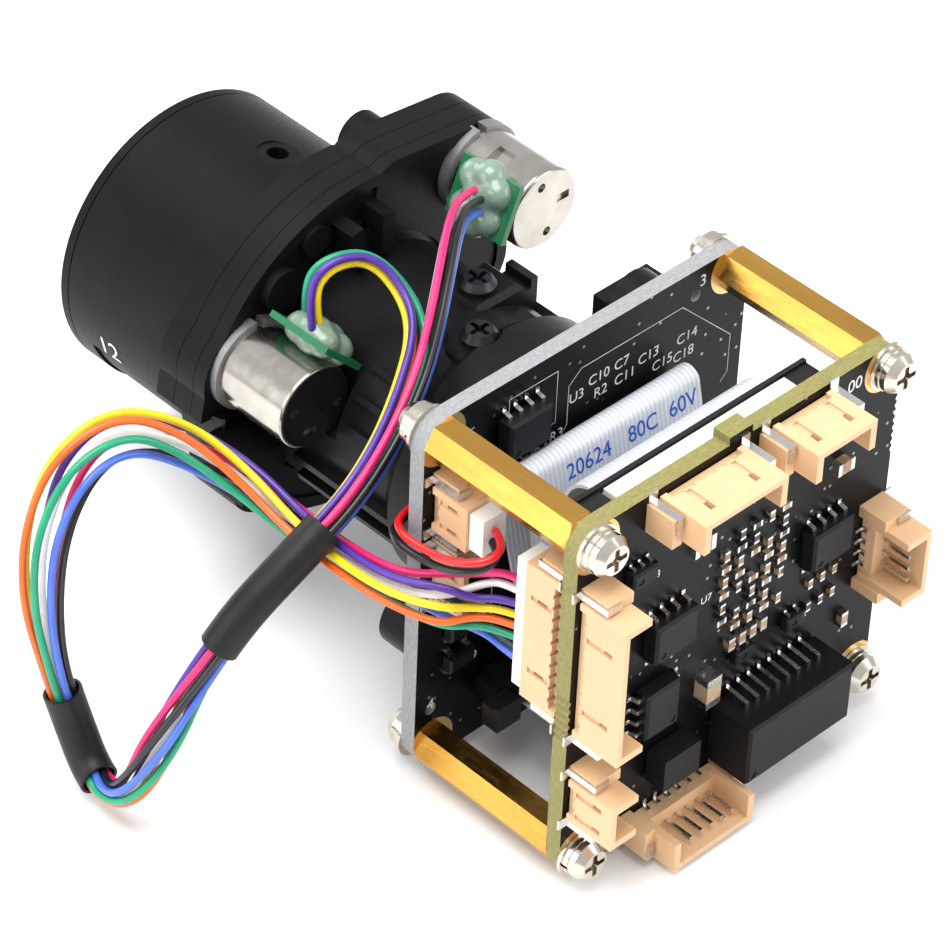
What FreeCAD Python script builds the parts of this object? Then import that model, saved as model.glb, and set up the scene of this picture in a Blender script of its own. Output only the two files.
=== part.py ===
import FreeCAD, Part
import math
import os

# Motorised zoom lens on a two-board camera module, in millimetres.
# +Z is up and the lens looks along -Y. The origin is on the optical axis,
# in the middle of the plain lens barrel that a housing grips.
# "up" of a connector is the way its mouth faces, "out" the side of its long wall.

Vector = FreeCAD.Vector
X = Vector(1, 0, 0)
Y = Vector(0, 1, 0)
Z = Vector(0, 0, 1)

# --- boards -------------------------------------------------------------
board_width = 38.0
board_height = 38.0
board_thickness = 1.6
board_corner = 2.6
hole_pitch = 34.0
screw_hole_radius = 1.1
standoff_length = 16.0
standoff_across_flats = 3.6
thread_radius = 0.8
pad_height = 0.05
pad_radius = 2.3
tab_width = 2.7
tab_height = 1.5
tooling_hole_radius = 0.6

# --- screws and washers --------------------------------------------------
screw_radius = 0.95
screw_head_radius = 1.9
screw_head_height = 1.4
flat_washer_radius = 2.25
flat_washer_thickness = 0.3
spring_washer_radius = 2.0
spring_washer_thickness = 0.55
screw_reach = 5.0
recess_width = 0.5
recess_length = 2.3
recess_depth = 0.8
case_screw_radius = 0.7
top_screw_length = 2.0
top_head_radius = 1.7

# --- lens ----------------------------------------------------------------
barrel_radius = 13.9
barrel_wall = 1.3
barrel_length = 18.4
barrel_root = 3.0
bezel_length = 0.9
bezel_groove = 0.12
bezel_inner_radius = 10.6
layer_front = 2.2
layer_middle = 2.2
layer_rear = 1.4
case_radius = 18.8
case_wall = 1.2
case_floor = 0.9
focus_ear_radius = 5.1
zoom_ear_radius = 4.3
seam = 0.06
tube_radius = 10.5
tube_bore = 9.4
rear_barrel_radius = 11.6
rear_barrel_collar = 12.8
collar_length = 4.2
lens_base_width = 28.0
lens_base_height = 26.0
lens_base_thickness = 4.6
lug_radius = 3.0
running_gap = 0.05
part_gap = 0.3
screw_port_radius = 1.0
screw_port_angle = 98.0
screw_port_y = 2.0

# --- drive ---------------------------------------------------------------
gear_module = 0.4
ring_teeth = 63
pinion_teeth = 10
idler_teeth = 12
gear_thickness = 0.9
backlash = 0.12
ring_bore_radius = tube_radius + running_gap
focus_motor_x = 13.2
focus_motor_z = 6.24
zoom_motor_angle = 134.6
motor_radius = 4.0
motor_length = 7.8
motor_bracket_thickness = 1.1
motor_bracket_radius = 4.4
motor_shaft_radius = 0.5
motor_board_width = 5.6
motor_board_length = 7.0
motor_board_thickness = 0.6
motor_board_gap = 0.55
guide_radius = 0.6
carriage_thickness = 3.0
carriage_radius = 9.1
filter_travel = 7.2

# --- connectors ----------------------------------------------------------
pin_pitch = 1.25
socket_end = 1.65
socket_depth = 3.0
socket_wall = 0.55
socket_floor = 1.5
rear_socket_height = 5.5
front_socket_height = 4.4
ear_thickness = 1.1
ear_height = 3.0
ear_depth = 3.3
contact_size = 0.34
clip_thickness = 0.2
ribbon_pitch = 0.5
ribbon_ways = 40
ribbon_thickness = 0.3
ribbon_margin = 0.5
ribbon_socket_length = 23.4
ribbon_socket_height = 3.9
ribbon_socket_depth = 2.9
latch_height = 1.3
latch_ear = 2.0

# --- wires ---------------------------------------------------------------
wire_diameter = 0.7
wire_pitch = 0.81
sleeve_wall = 0.25
sleeve_gap = 0.2
fan_share = 0.25
pad_spread = 1.5
plug_lip = 1.2
filter_plug_lip = 1.6
zoom_board_angle = 22.0
zoom_board_shift = 0.0
focus_board_angle = 135.0
focus_board_shift = 1.2

# --- places worked out from the sizes above --------------------------------
barrel_front = -barrel_length / 2
case_front = barrel_length / 2
seam_one = case_front + layer_front
seam_two = seam_one + layer_middle
case_back = seam_two + layer_rear
base_front = 36.4
sensor_front = base_front + lens_base_thickness
sensor_back = sensor_front + board_thickness
main_front = sensor_back + standoff_length
main_back = main_front + board_thickness
half_width = board_width / 2
half_height = board_height / 2
zoom_ring_y = case_front + case_floor + part_gap
focus_ring_y = seam_two - 0.75
ring_pitch_radius = gear_module * ring_teeth / 2
pinion_pitch_radius = gear_module * pinion_teeth / 2
idler_pitch_radius = gear_module * idler_teeth / 2
zoom_motor_reach = ring_pitch_radius + 2 * idler_pitch_radius + pinion_pitch_radius
zoom_idler_reach = ring_pitch_radius + idler_pitch_radius
motor_back = case_back - 0.4 + motor_bracket_thickness + motor_length
motor_front = motor_back - motor_length
bracket_front = motor_front - motor_bracket_thickness


def polar(reach, degrees):
    """Point (x, z) at a distance and an angle from the optical axis."""
    angle = math.radians(degrees)
    return reach * math.cos(angle), reach * math.sin(angle)


zoom_motor_x, zoom_motor_z = polar(zoom_motor_reach, zoom_motor_angle)
zoom_idler_x, zoom_idler_z = polar(zoom_idler_reach, zoom_motor_angle)


# --- simple shapes ---------------------------------------------------------
def box(x0, x1, y0, y1, z0, z1):
    """Box between two corners."""
    return Part.makeBox(x1 - x0, y1 - y0, z1 - z0, Vector(x0, y0, z0))


def rod(x, z, radius, y0, y1):
    """Cylinder along Y."""
    return Part.makeCylinder(radius, y1 - y0, Vector(x, y0, z), Y)


def ring(x, z, outer, inner, y0, y1):
    """Tube along Y."""
    return rod(x, z, outer, y0, y1).cut(rod(x, z, inner, y0 - 1, y1 + 1))


def cone(x, z, radius0, radius1, y0, y1):
    """Cone frustum along Y."""
    return Part.makeCone(radius0, radius1, y1 - y0, Vector(x, y0, z), Y)


def joined(shapes):
    """One solid from several that touch or overlap."""
    result = shapes[0]
    for shape in shapes[1:]:
        result = result.fuse(shape)
    return result.removeSplitter()


def without(shape, tools):
    """Shape less each tool."""
    for tool in tools:
        shape = shape.cut(tool)
    return shape


def turned(shape, degrees):
    """Shape turned about the optical axis, from +X towards +Z."""
    result = shape.copy()
    result.rotate(Vector(0, 0, 0), Y, -degrees)
    return result


def moved(shape, offset):
    """Copy of a shape at another place."""
    result = shape.copy()
    result.translate(offset)
    return result


def set_down(shape, origin, out, up):
    """Copy of a shape drawn with X along it, Y out and Z up, placed on a board."""
    along = out.cross(up)
    matrix = FreeCAD.Matrix(
        along.x, out.x, up.x, origin.x,
        along.y, out.y, up.y, origin.y,
        along.z, out.z, up.z, origin.z,
        0, 0, 0, 1)
    result = shape.copy()
    result.Placement = FreeCAD.Placement(matrix).multiply(result.Placement)
    return result


def lobe(start, start_radius, end, end_radius, y0, y1):
    """Prism along Y that runs from one round end to another, each at (x, z)."""
    heading = math.degrees(math.atan2(end[1] - start[1], end[0] - start[0]))
    distance = math.hypot(end[0] - start[0], end[1] - start[1])
    spread = math.degrees(math.acos((start_radius - end_radius) / distance))
    corners = []
    for place, radius, degrees in (
            (start, start_radius, heading - spread), (start, start_radius, heading + 180),
            (start, start_radius, heading + spread), (end, end_radius, heading + spread),
            (end, end_radius, heading), (end, end_radius, heading - spread)):
        dx, dz = polar(radius, degrees)
        corners.append(Vector(place[0] + dx, y0, place[1] + dz))
    outline = Part.Wire([
        Part.Arc(corners[0], corners[1], corners[2]).toShape(),
        Part.makeLine(corners[2], corners[3]),
        Part.Arc(corners[3], corners[4], corners[5]).toShape(),
        Part.makeLine(corners[5], corners[0]),
    ])
    return Part.Face(outline).extrude(Vector(0, y1 - y0, 0))


def outline_solid(points, y0, y1):
    """Prism along Y from a closed outline of (x, z) points."""
    corners = [Vector(x, y0, z) for x, z in points]
    corners.append(corners[0])
    face = Part.Face(Part.makePolygon(corners))
    return face.extrude(Vector(0, y1 - y0, 0))


def save(name, shapes):
    """Write one node's solids to its STEP file."""
    solids = []
    for shape in shapes:
        solids.extend(shape.Solids)
    target = solids[0] if len(solids) == 1 else Part.makeCompound(solids)
    target.exportStep("parts/" + name + ".step")


def corner_places():
    """The four screw places, as (x, z)."""
    half = hole_pitch / 2
    return [(half, half), (-half, half), (-half, -half), (half, -half)]


# --- boards ----------------------------------------------------------------
def board_blank(y0):
    """Board with rounded corners and the four screw holes."""
    blank = box(-half_width, half_width, y0, y0 + board_thickness, -half_height, half_height)
    upright = [edge for edge in blank.Edges if abs(edge.tangentAt(edge.FirstParameter).y) > 0.9]
    blank = blank.makeFillet(board_corner, upright)
    holes = [rod(x, z, screw_hole_radius, y0 - 1, y0 + board_thickness + 1) for x, z in corner_places()]
    return without(blank, holes)


def main_board():
    """Rear board, with its break-off tab and plated edge notches."""
    board = board_blank(main_front)
    tab_top = half_height + tab_height - 0.7
    tab = box(-0.7, -0.7 + tab_width, main_front - 0.25, main_back, half_height - 0.5, tab_top)
    board = joined([board, tab])
    notch_radius = 0.3
    notches = []
    for index in range(6):
        z = -3.2 + index * 0.85
        notches.append(rod(half_width + 0.12, z, notch_radius, main_front - 1, main_back + 1))
    for index in range(9):
        z = 6.8 + index * 0.8
        notches.append(rod(-half_width - 0.12, z, notch_radius, main_front - 1, main_back + 1))
    return without(board, notches)


def sensor_board():
    """Front board, with its two tooling holes."""
    board = board_blank(sensor_front)
    holes = []
    for x, z in ((-12.6, 16.2), (17.2, -12.9)):
        holes.append(rod(x, z, tooling_hole_radius, sensor_front - 1, sensor_back + 1))
    return without(board, holes)


def standoffs():
    """Four hexagonal threaded spacers."""
    corner_radius = standoff_across_flats / math.sqrt(3)
    solids = []
    for x, z in corner_places():
        points = []
        for index in range(6):
            dx, dz = polar(corner_radius, 60 * index)
            points.append((x + dx, z + dz))
        hexagon = outline_solid(points, sensor_back, main_front)
        chamfer = cone(x, z, corner_radius + 2.2, corner_radius - 0.3, main_front - 2.5, main_front)
        hexagon = hexagon.common(chamfer.fuse(rod(x, z, corner_radius + 3, sensor_back, main_front - 1.8)))
        solids.append(hexagon.cut(rod(x, z, thread_radius, sensor_back - 1, main_front + 1)))
    return solids


# --- fasteners ---------------------------------------------------------------
def pan_screw(shank_radius, shank_length, head_radius, head_height):
    """Cross-recess screw: head up Z from 0, shank down."""
    head = Part.makeCylinder(head_radius, head_height * 0.45)
    dome_low = Vector(0, 0, head_height * 0.45)
    dome = Part.makeCone(head_radius, head_radius * 0.72, head_height * 0.55, dome_low)
    shank = Part.makeCylinder(shank_radius, shank_length, Vector(0, 0, -shank_length))
    screw = joined([head, dome, shank])
    arm = recess_length * head_radius / screw_head_radius / 2
    half = recess_width * head_radius / screw_head_radius / 2
    low = head_height - recess_depth * head_height / screw_head_height
    slots = [
        Part.makeBox(2 * arm, 2 * half, head_height, Vector(-arm, -half, low)),
        Part.makeBox(2 * half, 2 * arm, head_height, Vector(-half, -arm, low)),
        Part.makeCone(half * 0.6, half * 2.0, head_height - low + 0.01, Vector(0, 0, low)),
    ]
    return without(screw, slots)


def washer(outer, thickness, split):
    """Flat or split washer on Z from 0."""
    hole = screw_radius + 0.15
    disc = Part.makeCylinder(outer, thickness)
    disc = disc.cut(Part.makeCylinder(hole, thickness + 2, Vector(0, 0, -1)))
    if split:
        disc = disc.cut(Part.makeBox(outer + 1, 0.3, thickness + 2, Vector(0, -0.15, -1)))
    return disc


def board_fasteners():
    """Screws, spring washers and flat washers on both boards' outer faces."""
    screws = []
    springs = []
    flats = []
    stack = flat_washer_thickness + spring_washer_thickness
    screw = pan_screw(screw_radius, board_thickness + stack, screw_head_radius, screw_head_height)
    thread = Part.makeCylinder(thread_radius - 0.02, screw_reach, Vector(0, 0, -screw_reach))
    flat = washer(flat_washer_radius, flat_washer_thickness, False)
    spring = washer(spring_washer_radius, spring_washer_thickness, True)
    screw = joined([screw, thread])
    for face, up in ((main_back, Y), (sensor_front, -Y)):
        for x, z in corner_places():
            out = Z if z > 0 else -Z
            foot = Vector(x, face, z)
            flats.append(set_down(flat, foot, out, up))
            springs.append(set_down(spring, foot + up * flat_washer_thickness, out, up))
            screws.append(set_down(screw, foot + up * stack, out, up))
    return screws, springs, flats


# --- wire sockets ------------------------------------------------------------
def socket_length(ways):
    """Length of a wire socket's body."""
    return (ways - 1) * pin_pitch + 2 * socket_end


def wire_socket(ways, height):
    """Socket body: one long wall with two windows, a floor, two ends and two ears."""
    length = socket_length(ways)
    half = length / 2
    back = socket_depth
    lead_room = 1.1
    end_wall = 0.7
    wall_corner = Vector(-half, back - socket_wall, lead_room)
    wall = Part.makeBox(length, socket_wall, height - lead_room, wall_corner)
    floor = Part.makeBox(length, back - 0.9, socket_floor, Vector(-half, 0.3, 0.1))
    ledge = Part.makeBox(length, back - 0.3, socket_floor - lead_room, Vector(-half, 0.3, lead_room))
    floor = floor.fuse(ledge)
    pieces = [wall, floor]
    for side in (-half, half - end_wall):
        pieces.append(Part.makeBox(end_wall, back, height - 0.4, Vector(side, 0, 0.4)))
    for side in (-half - ear_thickness, half):
        pieces.append(Part.makeBox(ear_thickness, ear_depth - 0.4, ear_height, Vector(side, -0.3, 0.05)))
    body = joined(pieces)
    cuts = []
    window_width = 0.6
    for side in (-0.27, 0.27):
        centre = side * length
        left = centre - window_width / 2
        cuts.append(Part.makeBox(window_width, 2, 1.1, Vector(left, back - 1.2, height - 2.4)))
        cuts.append(Part.makeBox(window_width, 0.25, 2.4, Vector(left, back - 0.2, lead_room + 0.2)))
    for index in range(ways):
        x = (index - (ways - 1) / 2) * pin_pitch
        cuts.append(Part.makeBox(0.5, 1.2, 0.35, Vector(x - 0.25, back - 0.9, lead_room - 0.2)))
    return without(body, cuts)


def socket_contacts(ways, height):
    """Square pins and their board leads."""
    half = contact_size / 2
    middle = socket_depth / 2 + 0.1
    solids = []
    for index in range(ways):
        x = (index - (ways - 1) / 2) * pin_pitch
        pin_height = height - 0.9 - socket_floor - 0.1
        pin_corner = Vector(x - half, middle - half, socket_floor + 0.1)
        pin = Part.makeBox(contact_size, contact_size, pin_height, pin_corner)
        solids.append(pin)
        foot = Part.makeBox(contact_size, 0.9, 0.2, Vector(x - half, -0.6, 0.0))
        riser = Part.makeBox(contact_size, 0.2, 0.8, Vector(x - half, 0.1, 0.0))
        solids.append(joined([foot, riser]))
    return solids


def socket_clips(ways):
    """Solder clip on each ear: a foot on the board and a strap up the outer face."""
    half = socket_length(ways) / 2
    strap_width = 0.7
    solids = []
    for side in (-1, 1):
        x = side * (half + ear_thickness / 2) - strap_width / 2
        face = ear_depth - 0.7
        foot = Part.makeBox(strap_width + 0.3, 1.0, clip_thickness, Vector(x - 0.15, face, 0.0))
        strap = Part.makeBox(strap_width, clip_thickness, ear_height + clip_thickness, Vector(x, face, 0.0))
        over = Part.makeBox(strap_width, 1.6, clip_thickness, Vector(x, face - 1.4, ear_height + 0.05))
        solids.append(joined([foot, strap, over]))
    return solids


# Each wire socket: ways, height, middle of its inner face on the board, out, up.
def socket_places():
    """All wire sockets, by node name."""
    inner_x = half_width - 0.1 - socket_depth
    inner_z = half_height - 0.3 - socket_depth
    high = rear_socket_height
    low = front_socket_height
    rear = main_back
    return {
        "six_pin_sockets": [
            (6, high, Vector(5.6, rear, inner_z), Z, Y),
            (6, high, Vector(5.9, rear, -inner_z - 0.9), -Z, Y),
        ],
        "four_pin_sockets": [
            (4, high, Vector(-6.2, rear, inner_z), Z, Y),
            (4, high, Vector(-inner_x, rear, -2.2), -X, Y),
        ],
        "ten_pin_sockets": [
            (10, high, Vector(inner_x, rear, 5.1), X, Y),
            (10, low, Vector(inner_x - 0.3, main_front, 5.1), X, -Y),
        ],
        "two_pin_sockets": [
            (2, high, Vector(inner_x, rear, -9.4), X, Y),
            (3, low, Vector(inner_x - 0.6, sensor_back, 3.0), X, Y),
            (2, low, Vector(inner_x - 0.6, sensor_back, 10.6), X, Y),
        ],
    }


def all_sockets():
    """Socket bodies by node, and every contact and clip."""
    bodies = {}
    contacts = []
    clips = []
    for name, places in socket_places().items():
        bodies[name] = []
        for ways, height, origin, out, up in places:
            bodies[name].append(set_down(wire_socket(ways, height), origin, out, up))
            for contact in socket_contacts(ways, height):
                contacts.append(set_down(contact, origin, out, up))
            for clip in socket_clips(ways):
                clips.append(set_down(clip, origin, out, up))
    return bodies, contacts, clips


def wire_plug(ways, height, lip):
    """Plug housing that fills the socket's mouth and stands out of it by its lip."""
    length = socket_length(ways) - 1.4 - 0.3
    low = socket_floor + 0.5
    inner = Part.makeBox(length, 1.9, height - low, Vector(-length / 2, 0.35, low))
    plate = Part.makeBox(length + 0.9, 2.6, lip, Vector(-length / 2 - 0.45, 0.1, height + 0.05))
    plate_neck = Part.makeBox(length, 1.9, 0.3, Vector(-length / 2, 0.35, height - 0.1))
    plug = joined([inner, plate_neck, plate])
    slots = []
    room = contact_size + 0.3
    middle = socket_depth / 2 + 0.1
    for index in range(ways):
        x = (index - (ways - 1) / 2) * pin_pitch
        slot_top = height - 0.5
        slot_corner = Vector(x - room / 2, middle - room / 2, low - 1)
        slots.append(Part.makeBox(room, room, slot_top - low + 1, slot_corner))
    return without(plug, slots)


# --- parts soldered to the boards --------------------------------------------
def chip(origin, out, up, width, length, height, leads, pitch, lead_reach):
    """Chip package and its gull-wing leads; leads stand on the two long sides (+-out)."""
    base = 0.15
    body = Part.makeBox(length, width, height, Vector(-length / 2, -width / 2, base))
    bevel = [edge for edge in body.Edges if edge.BoundBox.ZMin > base + height - 0.01]
    body = body.makeChamfer(min(0.25, height / 5), bevel)
    dimple = Part.makeCylinder(0.35, 0.1, Vector(-length / 2 + 0.8, -width / 2 + 0.8, base + height - 0.08))
    body = body.cut(dimple)
    lead_solids = []
    for side in (-1, 1):
        for index in range(leads // 2):
            x = (index - (leads / 2 - 1) / 2) * pitch
            wide = pitch * 0.32
            root = width / 2
            points = [
                (root, base + height * 0.5), (root + lead_reach * 0.45, base + height * 0.5),
                (root + lead_reach * 0.62, 0.16), (root + lead_reach, 0.16), (root + lead_reach, 0.0),
                (root + lead_reach * 0.5, 0.0), (root + lead_reach * 0.33, base + height * 0.5 - 0.18),
                (root, base + height * 0.5 - 0.18),
            ]
            corners = [Vector(x - wide / 2, side * reach, rise) for reach, rise in points]
            corners.append(corners[0])
            lead = Part.Face(Part.makePolygon(corners)).extrude(Vector(wide, 0, 0))
            lead_solids.append(set_down(lead, origin, out, up))
    return set_down(body, origin, out, up), lead_solids


def board_chips():
    """Chip packages with their leads."""
    rear = main_back
    table = [
        (Vector(8.2, rear, 3.1), Z, Y, 3.9, 4.9, 1.5, 8, 1.27, 1.05),
        (Vector(9.2, rear, -4.6), X, Y, 3.9, 4.9, 1.5, 8, 1.27, 1.05),
        (Vector(-10.8, rear, 1.9), Z, Y, 3.9, 4.9, 1.5, 8, 1.27, 1.05),
        (Vector(12.0, rear, 11.4), Z, Y, 1.7, 2.9, 1.0, 6, 0.95, 0.6),
        (Vector(-1.4, rear, -5.4), Z, Y, 1.3, 2.2, 0.9, 4, 1.1, 0.5),
        (Vector(-7.6, rear, -5.4), Z, Y, 1.3, 2.2, 0.9, 4, 1.1, 0.5),
        (Vector(8.2, sensor_back, 13.6), Z, Y, 3.9, 4.9, 1.5, 8, 1.27, 1.05),
        (Vector(14.6, sensor_back, -4.6), Z, Y, 1.6, 2.9, 1.0, 4, 1.9, 0.6),
        (Vector(14.6, sensor_back, -8.2), Z, Y, 1.6, 2.9, 1.0, 4, 1.9, 0.6),
    ]
    bodies = []
    leads = []
    for row in table:
        body, row_leads = chip(*row)
        bodies.append(body)
        leads.extend(row_leads)
    return bodies, leads


def network_transformer():
    """Large black transformer block and its leads."""
    origin = Vector(-4.9, main_back, -12.9)
    body, leads = chip(origin, Z, Y, 6.2, 12.8, 4.7, 16, 1.27, 1.3)
    return body, leads


def power_diode():
    """Diode block with two folded tabs."""
    body = box(4.9, 9.2, main_back + 0.15, main_back + 2.3, -13.6, -10.2)
    return body


def chip_parts():
    """Small ceramic parts: bodies and their metal ends."""
    bodies = []
    ends = []
    rows = []
    for column in range(5):
        for row in range(8):
            if (column * 3 + row * 5) % 7 == 0:
                continue
            rows.append((1.6 - column * 1.75, 8.6 - row * 1.45, 1.1, 0.6, 0.55, (column + row) % 2))
    for column in range(4):
        rows.append((0.2 - column * 1.3, -3.4, 1.3, 0.75, 0.7, 1))
    for column in range(3):
        rows.append((-9.6 - column * 1.5, -2.6, 1.0, 0.55, 0.5, 1))
        rows.append((-9.6 - column * 1.5, -5.2, 1.0, 0.55, 0.5, 1))
    rows.append((2.9, -6.6, 3.2, 1.7, 1.5, 1))
    rows.append((-12.2, 9.2, 2.0, 1.25, 0.9, 0))
    rows.append((4.6, 10.2, 2.4, 1.6, 0.7, 0))
    rows.append((-14.6, -9.6, 1.6, 0.8, 0.6, 1))
    for x, z, length, width, height, upright in rows:
        low = main_back + 0.02
        cap = 0.22 * length
        run = (length - 2 * cap) / 2
        if upright:
            bodies.append(box(x - width / 2, x + width / 2, low, low + height, z - run, z + run))
            for side in (-1, 1):
                near, far = sorted((z + side * run, z + side * length / 2))
                ends.append(box(x - width / 2, x + width / 2, low, low + height, near, far))
        else:
            bodies.append(box(x - run, x + run, low, low + height, z - width / 2, z + width / 2))
            for side in (-1, 1):
                near, far = sorted((x + side * run, x + side * length / 2))
                ends.append(box(near, far, low, low + height, z - width / 2, z + width / 2))
    return bodies, ends


# --- ribbon cable and its two sockets ------------------------------------------
def ribbon_width():
    """Overall width of the ribbon."""
    return (ribbon_ways - 1) * ribbon_pitch + 2 * ribbon_margin


def ribbon_socket(origin, up):
    """Upright ribbon socket: body with a slot, and its sliding latch bar around the slot."""
    length = ribbon_socket_length
    half = length / 2
    depth = ribbon_socket_depth
    height = ribbon_socket_height
    slot = ribbon_thickness + 0.3
    body_half = ribbon_width() / 2 + 0.35
    body = Part.makeBox(2 * body_half, depth, height, Vector(-body_half, -depth / 2, 0))
    lugs = []
    for side in (-1, 1):
        start = body_half if side > 0 else -body_half - 1.2
        lugs.append(Part.makeBox(1.2, depth * 0.7, height * 0.62, Vector(start, -depth * 0.35, 0)))
    body = joined([body] + lugs)
    mouth_width = ribbon_width() + 0.2
    mouth = Part.makeBox(mouth_width, slot, height, Vector(-mouth_width / 2, -slot / 2, 0.8))
    body = body.cut(mouth)
    bar_low = height * 0.62 + part_gap
    ear = half + latch_ear - body_half - 0.3
    bars = []
    for side in (-1, 1):
        start = body_half + 0.3 if side > 0 else -half - latch_ear
        ear_corner = Vector(start, -depth * 0.4, bar_low)
        bars.append(Part.makeBox(ear, depth * 0.8, latch_height + 0.5, ear_corner))
    rail_low = height + part_gap
    rail_depth = (depth - slot) / 2 - 0.35
    rail_corner = Vector(-half - latch_ear, -depth / 2, rail_low)
    rail = Part.makeBox(length + 2 * latch_ear, rail_depth, 0.45, rail_corner)
    bars.append(rail)
    latch_top = rail_low + 0.45
    for side in (-1, 1):
        start = body_half + 0.3 if side > 0 else -half - latch_ear
        ear_corner = Vector(start, -depth * 0.4, bar_low)
        bars.append(Part.makeBox(ear, depth * 0.8, latch_top - bar_low, ear_corner))
    latch = joined(bars)
    return set_down(body, origin, -Z, up), set_down(latch, origin, -Z, up)


def ribbon_path():
    """Middle line of the ribbon as (y, z) points, from the rear socket to the front one."""
    top_z = 14.4
    low_z = -13.6
    return [
        (main_front - 1.2, top_z), (main_front - 8.2, top_z), (main_front - 8.6, 8.0),
        (main_front - 8.2, 0.5), (main_front - 10.2, -1.9), (main_front - 11.4, 1.5),
        (main_front - 12.0, 6.5), (main_front - 13.0, 10.8), (main_front - 14.2, 11.2),
        (main_front - 15.2, 10.4), (main_front - 15.3, 5.0), (main_front - 13.4, -2.0),
        (main_front - 9.6, -7.6), (main_front - 6.6, -11.6), (main_front - 7.2, low_z),
        (sensor_back + 1.2, low_z),
    ]


def rounded_wire(points, share, left_out=0.0):
    """Straight runs joined by tangent arcs, and the arcs' radii; part of each end run may be left out."""
    edges = []
    radii = []
    start = points[0] + (points[1] - points[0]) * left_out
    for before, corner, after in zip(points, points[1:], points[2:]):
        back = before - corner
        ahead = after - corner
        shorter = min(back.Length, ahead.Length)
        back.normalize()
        ahead.normalize()
        half_turn = (math.pi - back.getAngle(ahead)) / 2
        trim = share * shorter
        enter = corner + back * trim
        leave = corner + ahead * trim
        middle_way = back + ahead
        middle_way.normalize()
        radius = trim / math.tan(half_turn)
        reach = radius / math.cos(half_turn) - radius
        middle = corner + middle_way * reach
        edges.append(Part.LineSegment(start, enter).toShape())
        edges.append(Part.Arc(enter, middle, leave).toShape())
        radii.append(radius)
        start = leave
    end = points[-1] + (points[-2] - points[-1]) * left_out
    edges.append(Part.LineSegment(start, end).toShape())
    return Part.Wire(edges), radii


def ribbon_cable():
    """Flat ribbon along its rounded path."""
    points = [Vector(0, y, z) for y, z in ribbon_path()]
    wire, radii = rounded_wire(points, 0.45)
    left = wire.makeOffset2D(ribbon_thickness / 2, 0, False, True)
    right = wire.makeOffset2D(-ribbon_thickness / 2, 0, False, True)
    ends = [
        Part.makeLine(left.OrderedVertexes[0].Point, right.OrderedVertexes[0].Point),
        Part.makeLine(left.OrderedVertexes[-1].Point, right.OrderedVertexes[-1].Point),
    ]
    outline = Part.Wire(Part.__sortEdges__(left.Edges + right.Edges + ends))
    half = ribbon_width() / 2
    face = Part.Face(outline)
    face.translate(Vector(-half, 0, 0))
    print("ribbon length %.1f, least radius %.2f" % (wire.Length, min(radii)))
    return face.extrude(Vector(2 * half, 0, 0))


# --- optics and gears ------------------------------------------------------------
def involute_point(base, radius):
    """Angle swept by the involute of a base circle out to a radius."""
    if radius <= base:
        return 0.0
    roll = math.sqrt((radius / base) ** 2 - 1)
    return roll - math.atan(roll)


def gear(teeth, bore, y0, start_degrees):
    """Spur gear about the Y axis through the origin."""
    pressure = math.radians(22)
    pitch_radius = gear_module * teeth / 2
    base = pitch_radius * math.cos(pressure)
    tip = pitch_radius + 0.85 * gear_module
    root = pitch_radius - 1.15 * gear_module
    half_thick = math.pi / 2 / teeth - backlash / 2 / pitch_radius
    at_pitch = involute_point(base, pitch_radius)
    radii = [max(root, base)]
    radii.append((radii[0] + tip) / 2)
    radii.append(tip)
    points = []
    for tooth in range(teeth):
        middle = math.radians(start_degrees) + 2 * math.pi * tooth / teeth
        flank = [(root, half_thick + at_pitch)]
        for radius in radii:
            flank.append((radius, half_thick + at_pitch - involute_point(base, radius)))
        for radius, spread in flank:
            points.append((radius, middle - spread))
        for radius, spread in reversed(flank):
            points.append((radius, middle + spread))
    outline = []
    for radius, angle in points:
        place = (radius * math.cos(angle), radius * math.sin(angle))
        if not outline or math.dist(place, outline[-1]) > 0.004:
            outline.append(place)
    body = outline_solid(outline, y0, y0 + gear_thickness)
    return body.cut(rod(0, 0, bore, y0 - 1, y0 + gear_thickness + 1))


def gear_at(teeth, bore, y0, x, z, towards_degrees, tooth_or_gap):
    """Gear at a place, with a tooth (0) or a gap (0.5) facing a direction."""
    start = towards_degrees + tooth_or_gap * 360 / teeth
    return moved(gear(teeth, bore, y0, start), Vector(x, 0, z))


def case_outline(grow, y0, y1):
    """Gear case outline, grown or shrunk, as a prism along Y."""
    body = rod(0, 0, case_radius + grow, y0, y1)
    keep = outline_solid([(0, 0), (30, 3.5), (30, 32), (-3, 32)], y0, y1)
    left = body.common(keep)
    core = rod(0, 0, barrel_radius + 2.0 + grow, y0, y1)
    ear_left = rod(focus_motor_x, focus_motor_z - 0.8, focus_ear_radius + grow, y0, y1)
    idler_lobe = rod(zoom_idler_x, zoom_idler_z, 5.4 + grow, y0, y1)
    shoulder_place = polar(16.1, 104)
    ear_place = (zoom_motor_x, zoom_motor_z)
    wing_place = polar(14.0, 170)
    shoulder = lobe(shoulder_place, 3.6 + grow, ear_place, zoom_ear_radius + grow, y0, y1)
    wing = lobe(ear_place, zoom_ear_radius + grow, wing_place, 4.2 + grow, y0, y1)
    foot_x, foot_z = polar(13.2, -35)
    foot = rod(foot_x, foot_z, 4.2 + grow, y0, y1)
    return joined([core, left, ear_left, idler_lobe, shoulder, wing, foot])


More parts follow.
